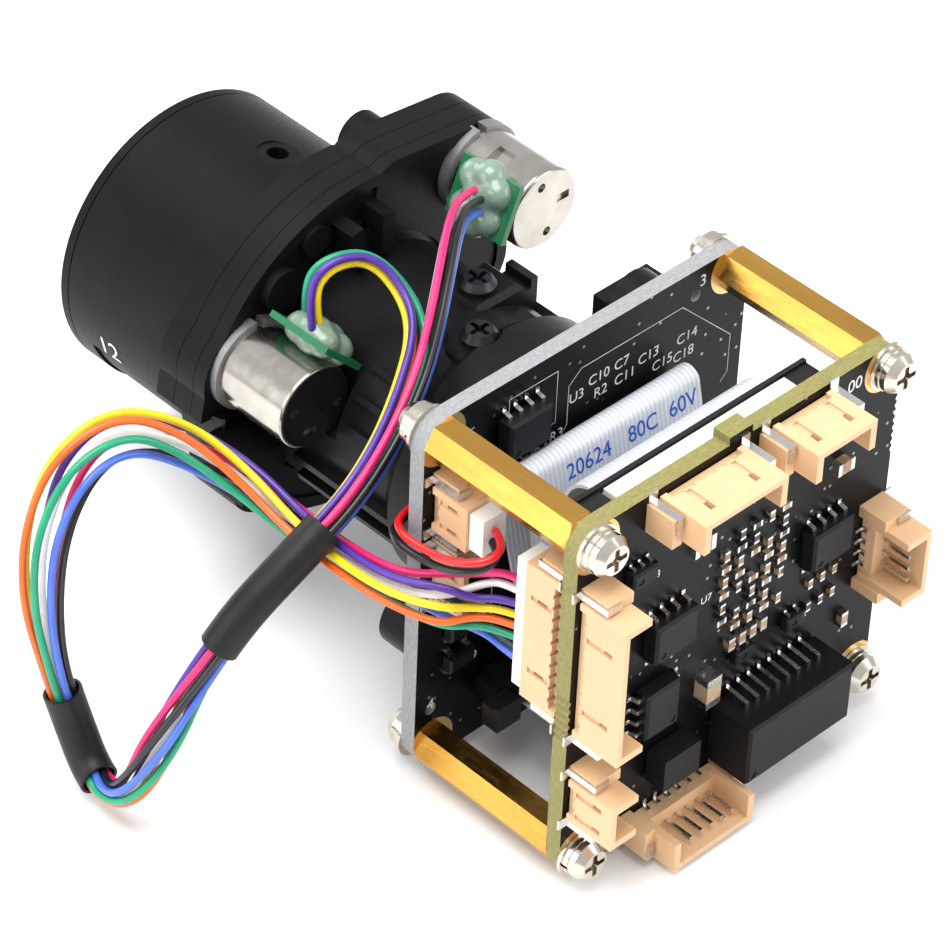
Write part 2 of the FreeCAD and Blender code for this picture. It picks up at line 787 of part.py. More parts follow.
def front_barrel():
    """Front barrel moulded in one with the case's front layer."""
    inner = barrel_radius - barrel_wall
    tube_front = barrel_front + bezel_length + bezel_groove
    tube = ring(0, 0, barrel_radius, inner, tube_front, case_front + case_floor)
    shell = case_outline(0, case_front, seam_one - seam)
    shell = shell.cut(case_outline(-case_wall, case_front + case_floor, seam_one + 1))
    boss_x, boss_z = polar(17.2, 115)
    boss = rod(boss_x, boss_z, 2.4, case_front - 2.8, case_front + 0.2)
    root = ring(0, 0, barrel_radius + 0.35, inner, case_front - barrel_root, case_front + case_floor)
    rest = ring(0, 0, inner + 0.5, tube_bore, case_front - 0.2, case_front + case_floor)
    body = joined([shell, tube, root, boss, rest])
    bore = rod(0, 0, tube_bore, case_front - 1, case_front + 3)
    clear = rod(0, 0, inner, barrel_front - 1, case_front - 0.2)
    idler_pin = rod(zoom_idler_x, zoom_idler_z, 0.5, case_front + 0.3, case_front + case_floor + 1.7)
    body = without(body, [bore, clear])
    body = joined([body, idler_pin])
    port_x, port_z = polar(barrel_radius, screw_port_angle)
    port_way = Vector(port_x, 0, port_z)
    port_way.normalize()
    port_place = Vector(0, screw_port_y, 0) + port_way * (inner - 1)
    port = Part.makeCylinder(screw_port_radius, 6, port_place, port_way)
    facet_place = Vector(0, screw_port_y, 0) + port_way * (barrel_radius - 0.12)
    facet = Part.makeCylinder(1.9, 2, facet_place, port_way)
    panel = label_recess()
    floor_top = case_front + case_floor
    shaft = rod(zoom_motor_x, zoom_motor_z, 1.2, floor_top - 0.5, floor_top + 0.1)
    return without(body, [port, facet, panel, shaft])


def label_recess():
    """Shallow panel let into the lower left of the barrel."""
    deep = 0.25
    shell = ring(0, 0, barrel_radius + 1, barrel_radius - deep, barrel_front + 3.2, case_front - 1.2)
    wedge_points = [(0, 0)]
    for degrees in (-66, -54, -42, -30, -20):
        wedge_points.append(polar(20, degrees))
    return shell.common(outline_solid(wedge_points, barrel_front, case_front))


def bezel_ring():
    """Front trim ring with a stepped light shade."""
    outer = ring(0, 0, barrel_radius, bezel_inner_radius, barrel_front, barrel_front + bezel_length)
    spigot_radius = barrel_radius - barrel_wall - 0.1
    spigot = ring(0, 0, spigot_radius, bezel_inner_radius, barrel_front + bezel_length, barrel_front + 2.4)
    return joined([outer, spigot])


def lens_disc(radius, middle, y0, y1):
    """Glass disc with one domed face towards -Y."""
    sphere_radius = (radius * radius + middle * middle) / (2 * middle)
    ball = Part.makeSphere(sphere_radius, Vector(0, y0 - middle + sphere_radius, 0))
    dome = ball.common(rod(0, 0, radius, y0 - middle - 1, y0))
    return joined([dome, rod(0, 0, radius, y0, y1)])


def front_glass():
    """Front element group: cell ring and domed glass."""
    cell_outer = barrel_radius - barrel_wall - 0.1
    cell = ring(0, 0, cell_outer, 9.7, barrel_front + 2.5, barrel_front + 7.0)
    glass = lens_disc(9.65, 2.2, barrel_front + 4.2, barrel_front + 6.0)
    return cell, glass


def carriage(y0, lens_radius, dome):
    """Lens carriage that slides on the two guide rods, with its glass."""
    body = rod(0, 0, carriage_radius, y0, y0 + carriage_thickness)
    body = body.cut(rod(0, 0, lens_radius, y0 - 1, y0 + carriage_thickness + 1))
    for x in (-8.0, 8.0):
        body = body.cut(rod(x, 0, guide_radius + running_gap, y0 - 1, y0 + carriage_thickness + 1))
    glass = lens_disc(lens_radius, dome, y0 + dome + 0.1, y0 + carriage_thickness - 0.3)
    return [body, glass]


def rear_barrel():
    """Lens tube that the rings turn on, the rear barrel and its collar."""
    nose = rod(0, 0, tube_radius, case_front + case_floor, case_back + 0.6)
    body = rod(0, 0, rear_barrel_radius, case_back + 0.6, base_front)
    collar = rod(0, 0, rear_barrel_collar, base_front - collar_length, base_front)
    shoulder = cone(0, 0, rear_barrel_radius, rear_barrel_collar, base_front - collar_length - 1.5,
                    base_front - collar_length)
    solids = [nose, body, collar, shoulder]
    rib = box(rear_barrel_radius - 0.5, rear_barrel_radius + 1.0, 20.0, base_front, -0.4, 0.4)
    for degrees in (150, 168, 186, 340, 352):
        solids.append(turned(rib, degrees))
    collar_front = base_front - collar_length
    low_rib = box(rear_barrel_radius - 0.5, rear_barrel_radius + 0.5, 25.0, collar_front, -0.3, 0.3)
    for degrees in (20, 34, 48):
        solids.append(turned(low_rib, degrees))
    solids.extend(top_lugs())
    shell = joined(solids)
    bore = rod(0, 0, tube_bore, case_front - 1, base_front - 2.0)
    light = rod(0, 0, 6.0, base_front - 3.0, base_front + 1)
    pocket_radius = motor_bracket_radius + 0.2
    pocket = rod(focus_motor_x, focus_motor_z, pocket_radius, bracket_front - 0.2, motor_back + 0.6)
    cuts = [bore, light, pocket]
    for x, y, z in top_screw_places():
        cuts.append(Part.makeCylinder(case_screw_radius + 0.02, 6, Vector(x, y, z - top_screw_length), Z))
        cuts.append(Part.makeCylinder(top_head_radius + 0.3, 4, Vector(x, y, z), Z))
    return without(shell, cuts)


def top_screw_places():
    """Seats of the two screws on top of the rear barrel, as (x, y, z)."""
    return [(-3.6, 25.6, 11.8), (1.2, 30.8, 11.8)]


def top_lugs():
    """Saddle and round lug on top of the rear barrel, with their arms."""
    (saddle_x, saddle_y, saddle_z), (lug_x, lug_y, lug_z) = top_screw_places()
    saddle = box(saddle_x - 3.4, saddle_x + 2.4, saddle_y - 2.4, saddle_y + 2.4, 7.0, saddle_z)
    saddle_edges = [edge for edge in saddle.Edges if edge.BoundBox.ZMin > saddle_z - 0.01]
    saddle = saddle.makeChamfer(0.5, saddle_edges)
    hook = box(saddle_x - 5.6, saddle_x - 3.0, saddle_y - 1.4, saddle_y + 1.8, 7.0, saddle_z - 1.6)
    tip = box(saddle_x - 5.6, saddle_x - 4.8, saddle_y - 1.4, saddle_y + 1.8, 7.0, saddle_z - 0.7)
    lug = Part.makeCylinder(lug_radius, lug_z - 8.0, Vector(lug_x, lug_y, 8.0), Z)
    lug = lug.makeChamfer(0.35, [edge for edge in lug.Edges if edge.BoundBox.ZMin > lug_z - 0.01])
    arm = box(lug_x - 6.5, lug_x, lug_y - 1.3, lug_y + 1.6, 7.5, lug_z - 0.9)
    brace = box(lug_x - 0.5, lug_x + 0.5, lug_y, base_front, 9.0, lug_z - 1.1)
    return [saddle, hook, tip, lug, arm, brace]


def guide_rods():
    """Two steel rods that carry the carriages."""
    return [rod(x, 0, guide_radius, case_front + 0.6, base_front - 2.0) for x in (-8.0, 8.0)]


def case_middle():
    """Middle case layer: rim and the plate between the two ring gears."""
    rim = case_outline(0, seam_one, seam_two - seam)
    rim = rim.cut(case_outline(-case_wall, seam_one - 1, seam_two + 1))
    plate_low = zoom_ring_y + gear_thickness + part_gap
    plate_high = focus_ring_y - part_gap
    plate = case_outline(-case_wall + 0.2, plate_low, plate_high)
    body = joined([rim, plate])
    holes = [
        rod(0, 0, tube_radius + 0.02, plate_low - 1, plate_high + 1),
        rod(zoom_idler_x, zoom_idler_z, 0.52, plate_low - 1, plate_high + 1),
        rod(zoom_motor_x, zoom_motor_z, motor_shaft_radius + 0.2, plate_low - 1, plate_high + 1),
    ]
    return without(body, holes)


def case_rear():
    """Rear case layer: rim, screw bosses, wire hooks and the motor seats."""
    rim = case_outline(0, seam_two, case_back)
    rim = rim.cut(case_outline(-case_wall, seam_two - 1, case_back + 1))
    plate_low = focus_ring_y + gear_thickness + part_gap
    plate = case_outline(-case_wall + 0.2, plate_low, plate_low + 0.7)
    opening = rod(0, 0, 12.0, plate_low - 1, plate_low + 2)
    sector = outline_solid([(0, 0), polar(30, 62), polar(30, 100)], plate_low - 1, plate_low + 2)
    band = ring(0, 0, 14.2, 11.0, plate_low - 1, plate_low + 2).common(sector)
    body = joined([rim, plate])
    body = without(body, [opening, band])
    solids = [body]
    bosses = ((52, 15.9, 2.0, 0.9), (70, 16.4, 1.5, 0.4), (-20, 14.6, 1.8, 1.4))
    for degrees, reach, radius, height in bosses:
        x, z = polar(reach, degrees)
        solids.append(rod(x, z, radius, plate_low + 0.2, case_back + height))
    for degrees in (80, 93):
        hook = joined([
            box(14.4, 16.4, plate_low + 0.2, case_back + 2.4, -0.7, 0.7),
            box(12.4, 16.4, case_back + 1.4, case_back + 2.4, -0.7, 0.7),
        ])
        solids.append(turned(hook, degrees))
    block_x, block_z = polar(15.4, -2)
    block_high = case_back + 4.6
    block = box(block_x - 2.4, block_x + 2.6, plate_low + 0.2, block_high, block_z - 4.2, block_z + 0.4)
    block = block.cut(rod(focus_motor_x, focus_motor_z, motor_bracket_radius + 0.1, plate_low, 40))
    solids.append(block)
    body = joined(solids)
    cuts = []
    for x, z in ((focus_motor_x, focus_motor_z), (zoom_motor_x, zoom_motor_z)):
        cuts.append(rod(x, z, motor_bracket_radius + 0.05, bracket_front, 40))
        cuts.append(rod(x, z, 2.7, plate_low - 1, 40))
    cuts.append(rod(0, 0, 11.8, plate_low - 1, 40))
    return without(body, cuts)


def motor(x, z, slot_degrees):
    """Motor can with its winding window, end holes and shaft bore."""
    can = rod(x, z, motor_radius, motor_front, motor_back)
    rim_edges = [edge for edge in can.Edges if edge.BoundBox.YMin > motor_back - 0.01]
    can = can.makeFillet(0.35, rim_edges)
    cuts = [rod(x, z, motor_shaft_radius + running_gap, motor_front - 1, motor_back - 1.5)]
    for degrees in (slot_degrees + 60, slot_degrees + 240):
        dx, dz = polar(2.6, degrees)
        cuts.append(rod(x + dx, z + dz, 0.45, motor_back - 0.5, motor_back + 1))
    dx, dz = polar(2.3, slot_degrees + 150)
    slot = box(-0.75, 0.75, motor_back - 0.5, motor_back + 1, -0.4, 0.4)
    cuts.append(moved(slot, Vector(x + dx, 0, z + dz)))
    window_low = motor_front + 2.4
    window = box(motor_radius - 0.6, motor_radius + 1, window_low, window_low + 2.0, -1.0, 1.0)
    window = turned(window, slot_degrees + 52)
    cuts.append(moved(window, Vector(x, 0, z)))
    return without(can, cuts)


def motor_bracket(x, z, open_degrees):
    """Cast ring at the front of a motor, with its notch."""
    body = rod(x, z, motor_bracket_radius, bracket_front, motor_front)
    body = body.cut(rod(x, z, motor_shaft_radius + 0.3, bracket_front - 1, motor_front + 1))
    outer = motor_bracket_radius
    notch = box(outer - 1.0, outer + 1, bracket_front - 1, motor_front + 1, -0.4, 0.4)
    return body.cut(moved(turned(notch, open_degrees), Vector(x, 0, z)))


def pinion(x, z, towards, phase, gear_y):
    """Motor pinion with its shaft."""
    wheel = gear_at(pinion_teeth, 0.2, gear_y, x, z, towards, phase)
    shaft = rod(x, z, motor_shaft_radius, gear_y - 0.1, motor_front + 4.5)
    return joined([wheel, shaft])


def motor_board(x, z, face_degrees, shift):
    """Small circuit board tangent to a motor can, on two posts."""
    low = motor_radius + motor_board_gap
    y0 = motor_front + 1.4
    half = motor_board_width / 2
    board = box(low, low + motor_board_thickness, y0, y0 + motor_board_length, -shift - half, -shift + half)
    posts = []
    for side in (-1.2, 1.2):
        posts.append(box(motor_radius - 0.1, low + 0.1, y0 + 2.2, y0 + 4.4, side - 0.35, side + 0.35))
    body = joined([board] + posts)
    body = body.cut(rod(0, 0, motor_radius + 0.01, y0 - 5, y0 + 12))
    return moved(turned(body, face_degrees), Vector(x, 0, z))


def image_sensor():
    """Sensor package with its cover glass."""
    package = box(-6.0, 6.0, sensor_front - 1.2, sensor_front, -5.0, 5.0)
    package = package.cut(box(-5.0, 5.0, sensor_front - 2, sensor_front - 0.5, -4.0, 4.0))
    glass = box(-5.6, 5.6, sensor_front - 1.6, sensor_front - 1.2, -4.6, 4.6)
    return [package, glass]


def lens_base():
    """Square holder on the front board that carries the rear barrel."""
    half = lens_base_width / 2
    half_tall = lens_base_height / 2
    block = box(-half, half, base_front, sensor_front, -half_tall, half_tall)
    hollow = box(-11.5, 11.5, base_front + 1.0, sensor_front + 1, -6.2, 6.2)
    light = rod(0, 0, 6.0, base_front - 1, base_front + 2)
    lugs = []
    for x, z in case_screw_places():
        lugs.append(rod(x, z, lug_radius, base_front, sensor_front))
    tall = box(-13.0, -6.6, base_front, sensor_front, half_tall - 1, half_height - 3.2)
    arch = rod(-9.4, half_height - 4.2, 3.0, base_front + 1.6, sensor_front)
    body = joined([block, tall, arch] + lugs)
    holes = []
    for x, z in case_screw_places():
        holes.append(rod(x, z, case_screw_radius + 0.02, base_front - 1, sensor_front - 0.6))
    return without(body, [hollow, light] + holes)


def filter_slider():
    """Sliding frame with two filter windows."""
    y0 = base_front + 1.0 + part_gap
    frame = box(-3.9, 10.9, y0, y0 + 0.9, -4.4, 4.4)
    glasses = []
    for x in (0, filter_travel):
        window = box(x - 3.2, x + 3.2, y0 - 1, y0 + 2, -3.4, 3.4)
        frame = frame.cut(window)
        glasses.append(box(x - 3.2, x + 3.2, y0 + 0.25, y0 + 0.65, -3.4, 3.4))
    return [frame] + glasses


def filter_coil():
    """Coil that throws the filter slider."""
    y0 = sensor_front - 1.6
    return box(-10.8, -6.8, y0, sensor_front, -3.0, 3.0)


def case_screw_places():
    """The two lugs of the lens base, as (x, z)."""
    reach = lens_base_width / 2 + 0.5
    return [(-reach, 7.5), (reach, -7.5)]


def case_screws():
    """Black self-tapping screws at the back of the lens assembly."""
    screw = pan_screw(case_screw_radius, 3.2, 1.6, 1.1)
    top_screw = pan_screw(case_screw_radius, top_screw_length, top_head_radius, 1.1)
    screws = [set_down(screw, Vector(x, base_front, z), Z, -Y) for x, z in case_screw_places()]
    for x, y, z in top_screw_places():
        screws.append(set_down(top_screw, Vector(x, y, z), Y, Z))
    return screws


# --- wiring ----------------------------------------------------------------------
# Motor wires, in the order of the plug's ways from the top: motor, and place in the bundle
# as (across, along) in bundle radii.
motor_wires = {
    "pink": ("zoom", -0.62, 0.78),
    "white": ("zoom", 0.0, 0.0),
    "purple": ("focus", 0.22, 0.97),
    "yellow": ("focus", 0.90, 0.43),
    "orange": ("focus", 0.90, -0.43),
    "green": ("focus", 0.22, -0.97),
    "black": ("zoom", -1.0, 0.0),
    "blue": ("zoom", -0.62, -0.78),
}
# Middle of the bundle from the plug to the end of the long sleeve, how loosely the wires lie
# there and how far the bundle has turned about itself: x, y, z, spread, degrees.
bundle_route = [
    (20.5, 47.2, 4.2, 1.9, 0), (22.4, 43.2, 4.3, 1.5, 0), (22.7, 37.6, 3.8, 1.3, 10),
    (22.4, 31.4, 3.6, 1.3, 30), (23.2, 25.6, 5.4, 1.5, 60), (26.2, 20.8, 8.4, 1.9, 95),
    (30.8, 18.4, 10.4, 2.2, 130), (35.8, 18.2, 9.2, 2.2, 160), (39.2, 18.8, 4.8, 2.0, 180),
    (40.8, 19.8, -1.2, 1.7, 180), (40.8, 21.2, -7.8, 1.0, 180), (40.0, 22.6, -13.6, 1.0, 180),
    (40.2, 25.0, -17.2, 1.0, 180), (41.0, 28.4, -17.8, 1.0, 200), (41.0, 31.4, -15.2, 1.3, 240),
    (38.6, 32.4, -10.6, 1.6, 290), (35.2, 33.2, -4.6, 1.0, 340), (31.6, 34.6, 1.2, 1.0, 360),
    (26.2, 35.4, 5.0, 1.0, 360), (20.6, 35.8, 8.2, 1.0, 360),
]
# Middle of each motor's own four wires, from the long sleeve to its board.
branch_routes = {
    "zoom": [
        (15.4, 35.4, 11.6, 1.1, 360), (10.6, 33.4, 14.2, 1.2, 360), (6.2, 30.4, 15.8, 1.3, 360),
        (2.2, 27.4, 17.6, 1.3, 360), (-1.6, 24.4, 18.6, 1.3, 360), (-5.2, 22.0, 17.8, 1.2, 360),
    ],
    "focus": [
        (15.2, 33.6, 9.8, 1.1, 360), (10.4, 31.2, 11.6, 1.2, 360), (6.4, 28.6, 13.4, 1.3, 360),
        (4.8, 25.6, 15.2, 1.2, 360), (5.6, 22.0, 17.8, 1.1, 360), (9.2, 20.6, 18.2, 1.1, 360),
        (11.4, 20.3, 16.0, 1.2, 360),
    ],
}
# The two sleeves, as the runs of the route on whose middles they begin and end.
sleeve_runs = ((10, 12), (16, 18))
filter_wire_route = [
    (16.9, 48.7, 10.6), (17.6, 50.6, 10.6), (19.8, 50.8, 10.2), (21.4, 48.4, 9.6), (21.4, 44.8, 8.8),
    (20.6, 41.4, 7.8), (18.6, 39.0, 7.0), (14.0, 38.4, 6.4),
]


def bundle_radius():
    """Distance of the outer wires from the middle wire: seven around one."""
    return wire_pitch / 2 / math.sin(math.pi / 7)


def frames(route, along):
    """Middle, across and along axes at each point of a route, turned as far as it says."""
    points = [Vector(x, y, z) for x, y, z, spread, degrees in route]
    placed = []
    for index, point in enumerate(points):
        before = points[max(index - 1, 0)]
        after = points[min(index + 1, len(points) - 1)]
        ahead = after - before
        ahead.normalize()
        along = along - ahead * along.dot(ahead)
        along.normalize()
        across = along.cross(ahead)
        turn = math.radians(route[index][4])
        turned_across = across * math.cos(turn) + along * math.sin(turn)
        turned_along = along * math.cos(turn) - across * math.sin(turn)
        placed.append((point, turned_across, turned_along))
    return placed


def plug_face():
    """Plane of the motor plug's wire side, and the middle of its wire row in x."""
    ways, height, origin, out, up = socket_places()["ten_pin_sockets"][1]
    return origin.y - height - 0.05 - plug_lip, origin.x + 1.4


def wire_points(name):
    """Route of one motor wire from the plug to its motor's board."""
    motor_name, across_share, along_share = motor_wires[name]
    order = list(motor_wires).index(name)
    origin = socket_places()["ten_pin_sockets"][1][2]
    face_y, row_x = plug_face()
    way_z = origin.z + (3.5 - order) * pin_pitch - pin_pitch
    side = -0.75 if motor_name == "zoom" else 0.75
    middle_z = origin.z - pin_pitch
    up = way_z - middle_z
    points = [Vector(row_x, face_y, way_z)]
    points.append(Vector(row_x + 0.4 + side * 0.4, face_y - 2.2, middle_z + up * 0.95))
    points.append(Vector(row_x + 1.4 + side * 1.1, face_y - 3.9, middle_z + up * 0.75))
    route = bundle_route + branch_routes[motor_name]
    same_motor = [place for place in motor_wires.values() if place[0] == motor_name]
    mean_across = sum(place[1] for place in same_motor) / len(same_motor)
    for index, (middle, across, along) in enumerate(frames(route, Z)):
        share = across_share
        if index >= len(bundle_route):
            share = across_share - mean_across
        reach = bundle_radius() * route[index][3]
        offset = across * (share * reach) + along * (along_share * reach)
        points.append(middle + offset)
    points[3] += Z * (up * fan_share)
    points.append(pad_place(motor_name, offset * pad_spread))
    return points


def pad_place(motor_name, offset):
    """Where a wire's end is soldered, just inside the face of its motor's board."""
    x, z, degrees, shift = {
        "zoom": (zoom_motor_x, zoom_motor_z, zoom_board_angle, zoom_board_shift),
        "focus": (focus_motor_x, focus_motor_z, focus_board_angle, focus_board_shift),
    }[motor_name]
    reach = motor_radius + motor_board_gap + motor_board_thickness - 0.2
    face_x, face_z = polar(reach, degrees)
    side_x, side_z = polar(shift, degrees - 90)
    y = motor_front + 1.4 + motor_board_length / 2
    normal_x, normal_z = polar(1, degrees)
    normal = Vector(normal_x, 0, normal_z)
    return Vector(x + face_x + side_x, y, z + face_z + side_z) + offset - normal * offset.dot(normal)


def tube(points, radius, share, left_out=0.0):
    """Round tube along a rounded route, its length and its least arc radius."""
    wire, radii = rounded_wire(points, share, left_out)
    ahead = points[1] - points[0]
    section = Part.Wire(Part.makeCircle(radius, points[0] + ahead * left_out, ahead))
    return wire.makePipeShell([section], True, False), wire.Length, min(radii)


def motor_wire(name):
    """One wire of the motor harness."""
    solid, length, radius = tube(wire_points(name), wire_diameter / 2, 0.45)
    section = math.pi * wire_diameter ** 2 / 4
    print("%s wire: length %.1f, least radius %.2f, volume / section x length %.4f"
          % (name, length, radius, solid.Volume / (section * length)))
    return solid


def sleeve(first, last):
    """Heat-shrink sleeve around the bundle between the middles of two runs."""
    route = [Vector(x, y, z) for x, y, z, spread, degrees in bundle_route[first:last + 2]]
    inner = bundle_radius() + wire_diameter / 2 + sleeve_gap
    outer_solid = tube(route, inner + sleeve_wall, 0.45, 0.5)[0]
    return outer_solid.cut(tube(route, inner, 0.45, 0.5)[0])


def filter_wires():
    """The two short leads from the filter plug to the lens holder."""
    solids = []
    for side in (0.62, -0.62):
        points = []
        for x, y, z in filter_wire_route:
            points.append(Vector(x, y + side * 0.4, z + side))
        solid, length, radius = tube(points, wire_diameter / 2, 0.45)
        solids.append(solid)
    return solids


def main():
    """Build every node and write its file."""
    os.makedirs("parts", exist_ok=True)
    save("main_board", [main_board()])
    save("sensor_board", [sensor_board()])
    save("standoffs", standoffs())
    screws, springs, flats = board_fasteners()
    save("board_screws", screws)
    save("spring_washers", springs)
    save("flat_washers", flats)
    bodies, contacts, clips = all_sockets()
    for name, solids in bodies.items():
        save(name, solids)
    save("socket_contacts", contacts)
    save("socket_clips", clips)
    ways, height, origin, out, up = socket_places()["ten_pin_sockets"][1]
    save("motor_plug", [set_down(wire_plug(ways, height, plug_lip), origin, out, up)])
    ways, height, origin, out, up = socket_places()["two_pin_sockets"][2]
    save("filter_plug", [set_down(wire_plug(ways, height, filter_plug_lip), origin, out, up)])
    transformer, transformer_leads = network_transformer()
    save("network_transformer", [transformer])
    chips, leads = board_chips()
    save("chip_packages", chips + [power_diode()])
    save("chip_leads", leads + transformer_leads)
    ceramics, ends = chip_parts()
    save("chip_capacitors", ceramics)
    save("chip_terminals", ends)
    rear_socket, rear_latch = ribbon_socket(Vector(0, main_front, 14.4), -Y)
    save("ribbon_socket_rear", [rear_socket])
    save("ribbon_latch_rear", [rear_latch])
    front_socket, front_latch = ribbon_socket(Vector(0, sensor_back, -13.6), Y)
    save("ribbon_socket_front", [front_socket])
    save("ribbon_latch_front", [front_latch])
    save("ribbon_cable", [ribbon_cable()])
    save("image_sensor", image_sensor())
    save("lens_base", [lens_base()])
    save("filter_slider", filter_slider())
    save("filter_coil", [filter_coil()])
    save("rear_barrel", [rear_barrel()])
    save("front_barrel", [front_barrel()])
    save("bezel_ring", [bezel_ring()])
    cell, glass = front_glass()
    save("front_cell", [cell])
    save("front_glass", [glass])
    save("zoom_carriage", carriage(case_front + 2.0, 6.4, 1.2))
    save("focus_carriage", carriage(case_front + 14.0, 5.6, 0.9))
    save("guide_rods", guide_rods())
    save("case_middle", [case_middle()])
    save("case_rear", [case_rear()])
    focus_angle = math.degrees(math.atan2(focus_motor_z, focus_motor_x))
    save("zoom_ring", [gear_at(ring_teeth, ring_bore_radius, zoom_ring_y, 0, 0, zoom_motor_angle, 0)])
    save("focus_ring", [gear_at(ring_teeth, ring_bore_radius, focus_ring_y, 0, 0, focus_angle, 0)])
    idler = gear_at(idler_teeth, 0.5 + running_gap, zoom_ring_y, zoom_idler_x, zoom_idler_z,
                    zoom_motor_angle + 180, 0.5)
    save("zoom_idler", [idler])
    save("zoom_pinion", [pinion(zoom_motor_x, zoom_motor_z, zoom_motor_angle + 180, 0, zoom_ring_y)])
    save("focus_pinion", [pinion(focus_motor_x, focus_motor_z, focus_angle + 180, 0.5, focus_ring_y)])
    save("zoom_motor", [motor(zoom_motor_x, zoom_motor_z, 20)])
    save("focus_motor", [motor(focus_motor_x, focus_motor_z, 135)])
    brackets = [
        motor_bracket(zoom_motor_x, zoom_motor_z, 90),
        motor_bracket(focus_motor_x, focus_motor_z, 100),
    ]
    save("motor_brackets", brackets)
    boards = [
        motor_board(zoom_motor_x, zoom_motor_z, zoom_board_angle, zoom_board_shift),
        motor_board(focus_motor_x, focus_motor_z, focus_board_angle, focus_board_shift),
    ]
    save("motor_boards", boards)
    save("case_screws", case_screws())
    for name in motor_wires:
        save("wire_" + name, [motor_wire(name)])
    save("harness_sleeves", [sleeve(first, last) for first, last in sleeve_runs])
    red, black = filter_wires()
    save("filter_wire_red", [red])
    save("filter_wire_black", [black])


main()
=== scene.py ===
"""Looks of a two-board camera module with a motorised zoom lens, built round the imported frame."""
import math
from types import SimpleNamespace

import bpy
from mathutils import Matrix, Vector


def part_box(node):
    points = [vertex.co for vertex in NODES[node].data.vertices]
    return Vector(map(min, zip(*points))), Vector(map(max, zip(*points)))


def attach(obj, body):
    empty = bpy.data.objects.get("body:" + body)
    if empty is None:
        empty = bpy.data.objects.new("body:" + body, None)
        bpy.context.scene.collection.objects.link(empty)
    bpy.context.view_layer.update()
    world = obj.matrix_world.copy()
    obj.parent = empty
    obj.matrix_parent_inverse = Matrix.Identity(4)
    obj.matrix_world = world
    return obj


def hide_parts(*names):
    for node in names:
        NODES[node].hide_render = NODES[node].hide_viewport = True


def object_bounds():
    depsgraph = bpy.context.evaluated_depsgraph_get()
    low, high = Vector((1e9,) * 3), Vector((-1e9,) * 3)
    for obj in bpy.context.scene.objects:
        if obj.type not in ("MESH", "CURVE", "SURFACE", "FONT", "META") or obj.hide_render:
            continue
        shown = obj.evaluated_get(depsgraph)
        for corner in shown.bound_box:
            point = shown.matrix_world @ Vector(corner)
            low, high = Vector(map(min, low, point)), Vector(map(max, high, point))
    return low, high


bl_info = {
    "name": "Camera module looks",
    "version": (1, 0, 0),
    "blender": (4, 5, 0),
    "location": "View3D > Sidebar > Camera module",
    "description": "Finishes, harness and small details of a motorised zoom camera module",
    "category": "Object",
}

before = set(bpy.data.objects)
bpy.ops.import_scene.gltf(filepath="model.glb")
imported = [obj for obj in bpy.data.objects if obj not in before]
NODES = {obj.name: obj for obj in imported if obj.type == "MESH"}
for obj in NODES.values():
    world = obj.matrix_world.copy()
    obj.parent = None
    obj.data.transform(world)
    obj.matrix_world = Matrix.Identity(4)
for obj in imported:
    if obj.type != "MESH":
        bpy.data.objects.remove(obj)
CAD_BOX = [list(corner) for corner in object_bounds()]
ROOT = "camera_body"
MM = 0.001

# Planes of the boards and the lens, read from the frame.
MAIN_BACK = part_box("main_board")[1].y
MAIN_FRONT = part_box("standoffs")[1].y
SENSOR_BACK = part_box("standoffs")[0].y
HOLE_REACH = 17.0 * MM
PAD_RADIUS = 2.6 * MM
RIBBON_PITCH = 0.5 * MM
BARREL_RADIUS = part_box("bezel_ring")[1].x
BARREL_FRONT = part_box("bezel_ring")[0].y
INK_DEPTH = 0.012 * MM
# How far the barrel's and the ribbon's ink stands off, to clear their facets.
BARREL_INK_GAP = 0.05 * MM
RIBBON_INK_GAP = 0.015 * MM


# --- settings ---------------------------------------------------------------
def colour_property(name, description, default):
    """Colour setting."""
    return bpy.props.FloatVectorProperty(
        name=name, description=description, subtype="COLOR", size=3, min=0, max=1, default=default)


class HarnessSettings(bpy.types.PropertyGroup):
    """Sizes and colours of the motor harness."""
    wire_diameter: bpy.props.FloatProperty(
        name="Wire diameter", description="Outside of one wire's insulation", default=0.7 * MM, unit="LENGTH")
    wire_pitch: bpy.props.FloatProperty(name="Wire pitch",
                                        description="Distance between neighbours in a sleeve",
                                        default=0.81 * MM, unit="LENGTH")
    pink: colour_property("Pink", "First wire", (0.80, 0.015, 0.16))
    white: colour_property("White", "Second wire", (0.86, 0.86, 0.84))
    purple: colour_property("Purple", "Third wire", (0.075, 0.022, 0.30))
    yellow: colour_property("Yellow", "Fourth wire", (0.88, 0.66, 0.004))
    orange: colour_property("Orange", "Fifth wire", (0.90, 0.14, 0.01))
    green: colour_property("Green", "Sixth wire", (0.004, 0.33, 0.16))
    black: colour_property("Black", "Seventh wire", (0.010, 0.010, 0.011))
    blue: colour_property("Blue", "Eighth wire", (0.07, 0.16, 0.66))


class FinishSettings(bpy.types.PropertyGroup):
    """Colours of the boards, metals and mouldings."""
    solder_mask: colour_property("Solder mask", "Face of both boards", (0.0030, 0.0030, 0.0034))
    main_edge: colour_property("Main board edge", "Bare glass fibre of the rear board", (0.22, 0.20, 0.075))
    sensor_edge: colour_property("Sensor board edge", "Bare glass fibre of the front board",
                                 (0.26, 0.26, 0.265))
    brass: colour_property("Brass", "Hexagonal spacers", (0.72, 0.40, 0.085))
    moulding: colour_property("Moulding", "Lens barrel and gear case", (0.0045, 0.0045, 0.0048))
    nylon: colour_property("Nylon", "Wire sockets", (0.74, 0.47, 0.26))


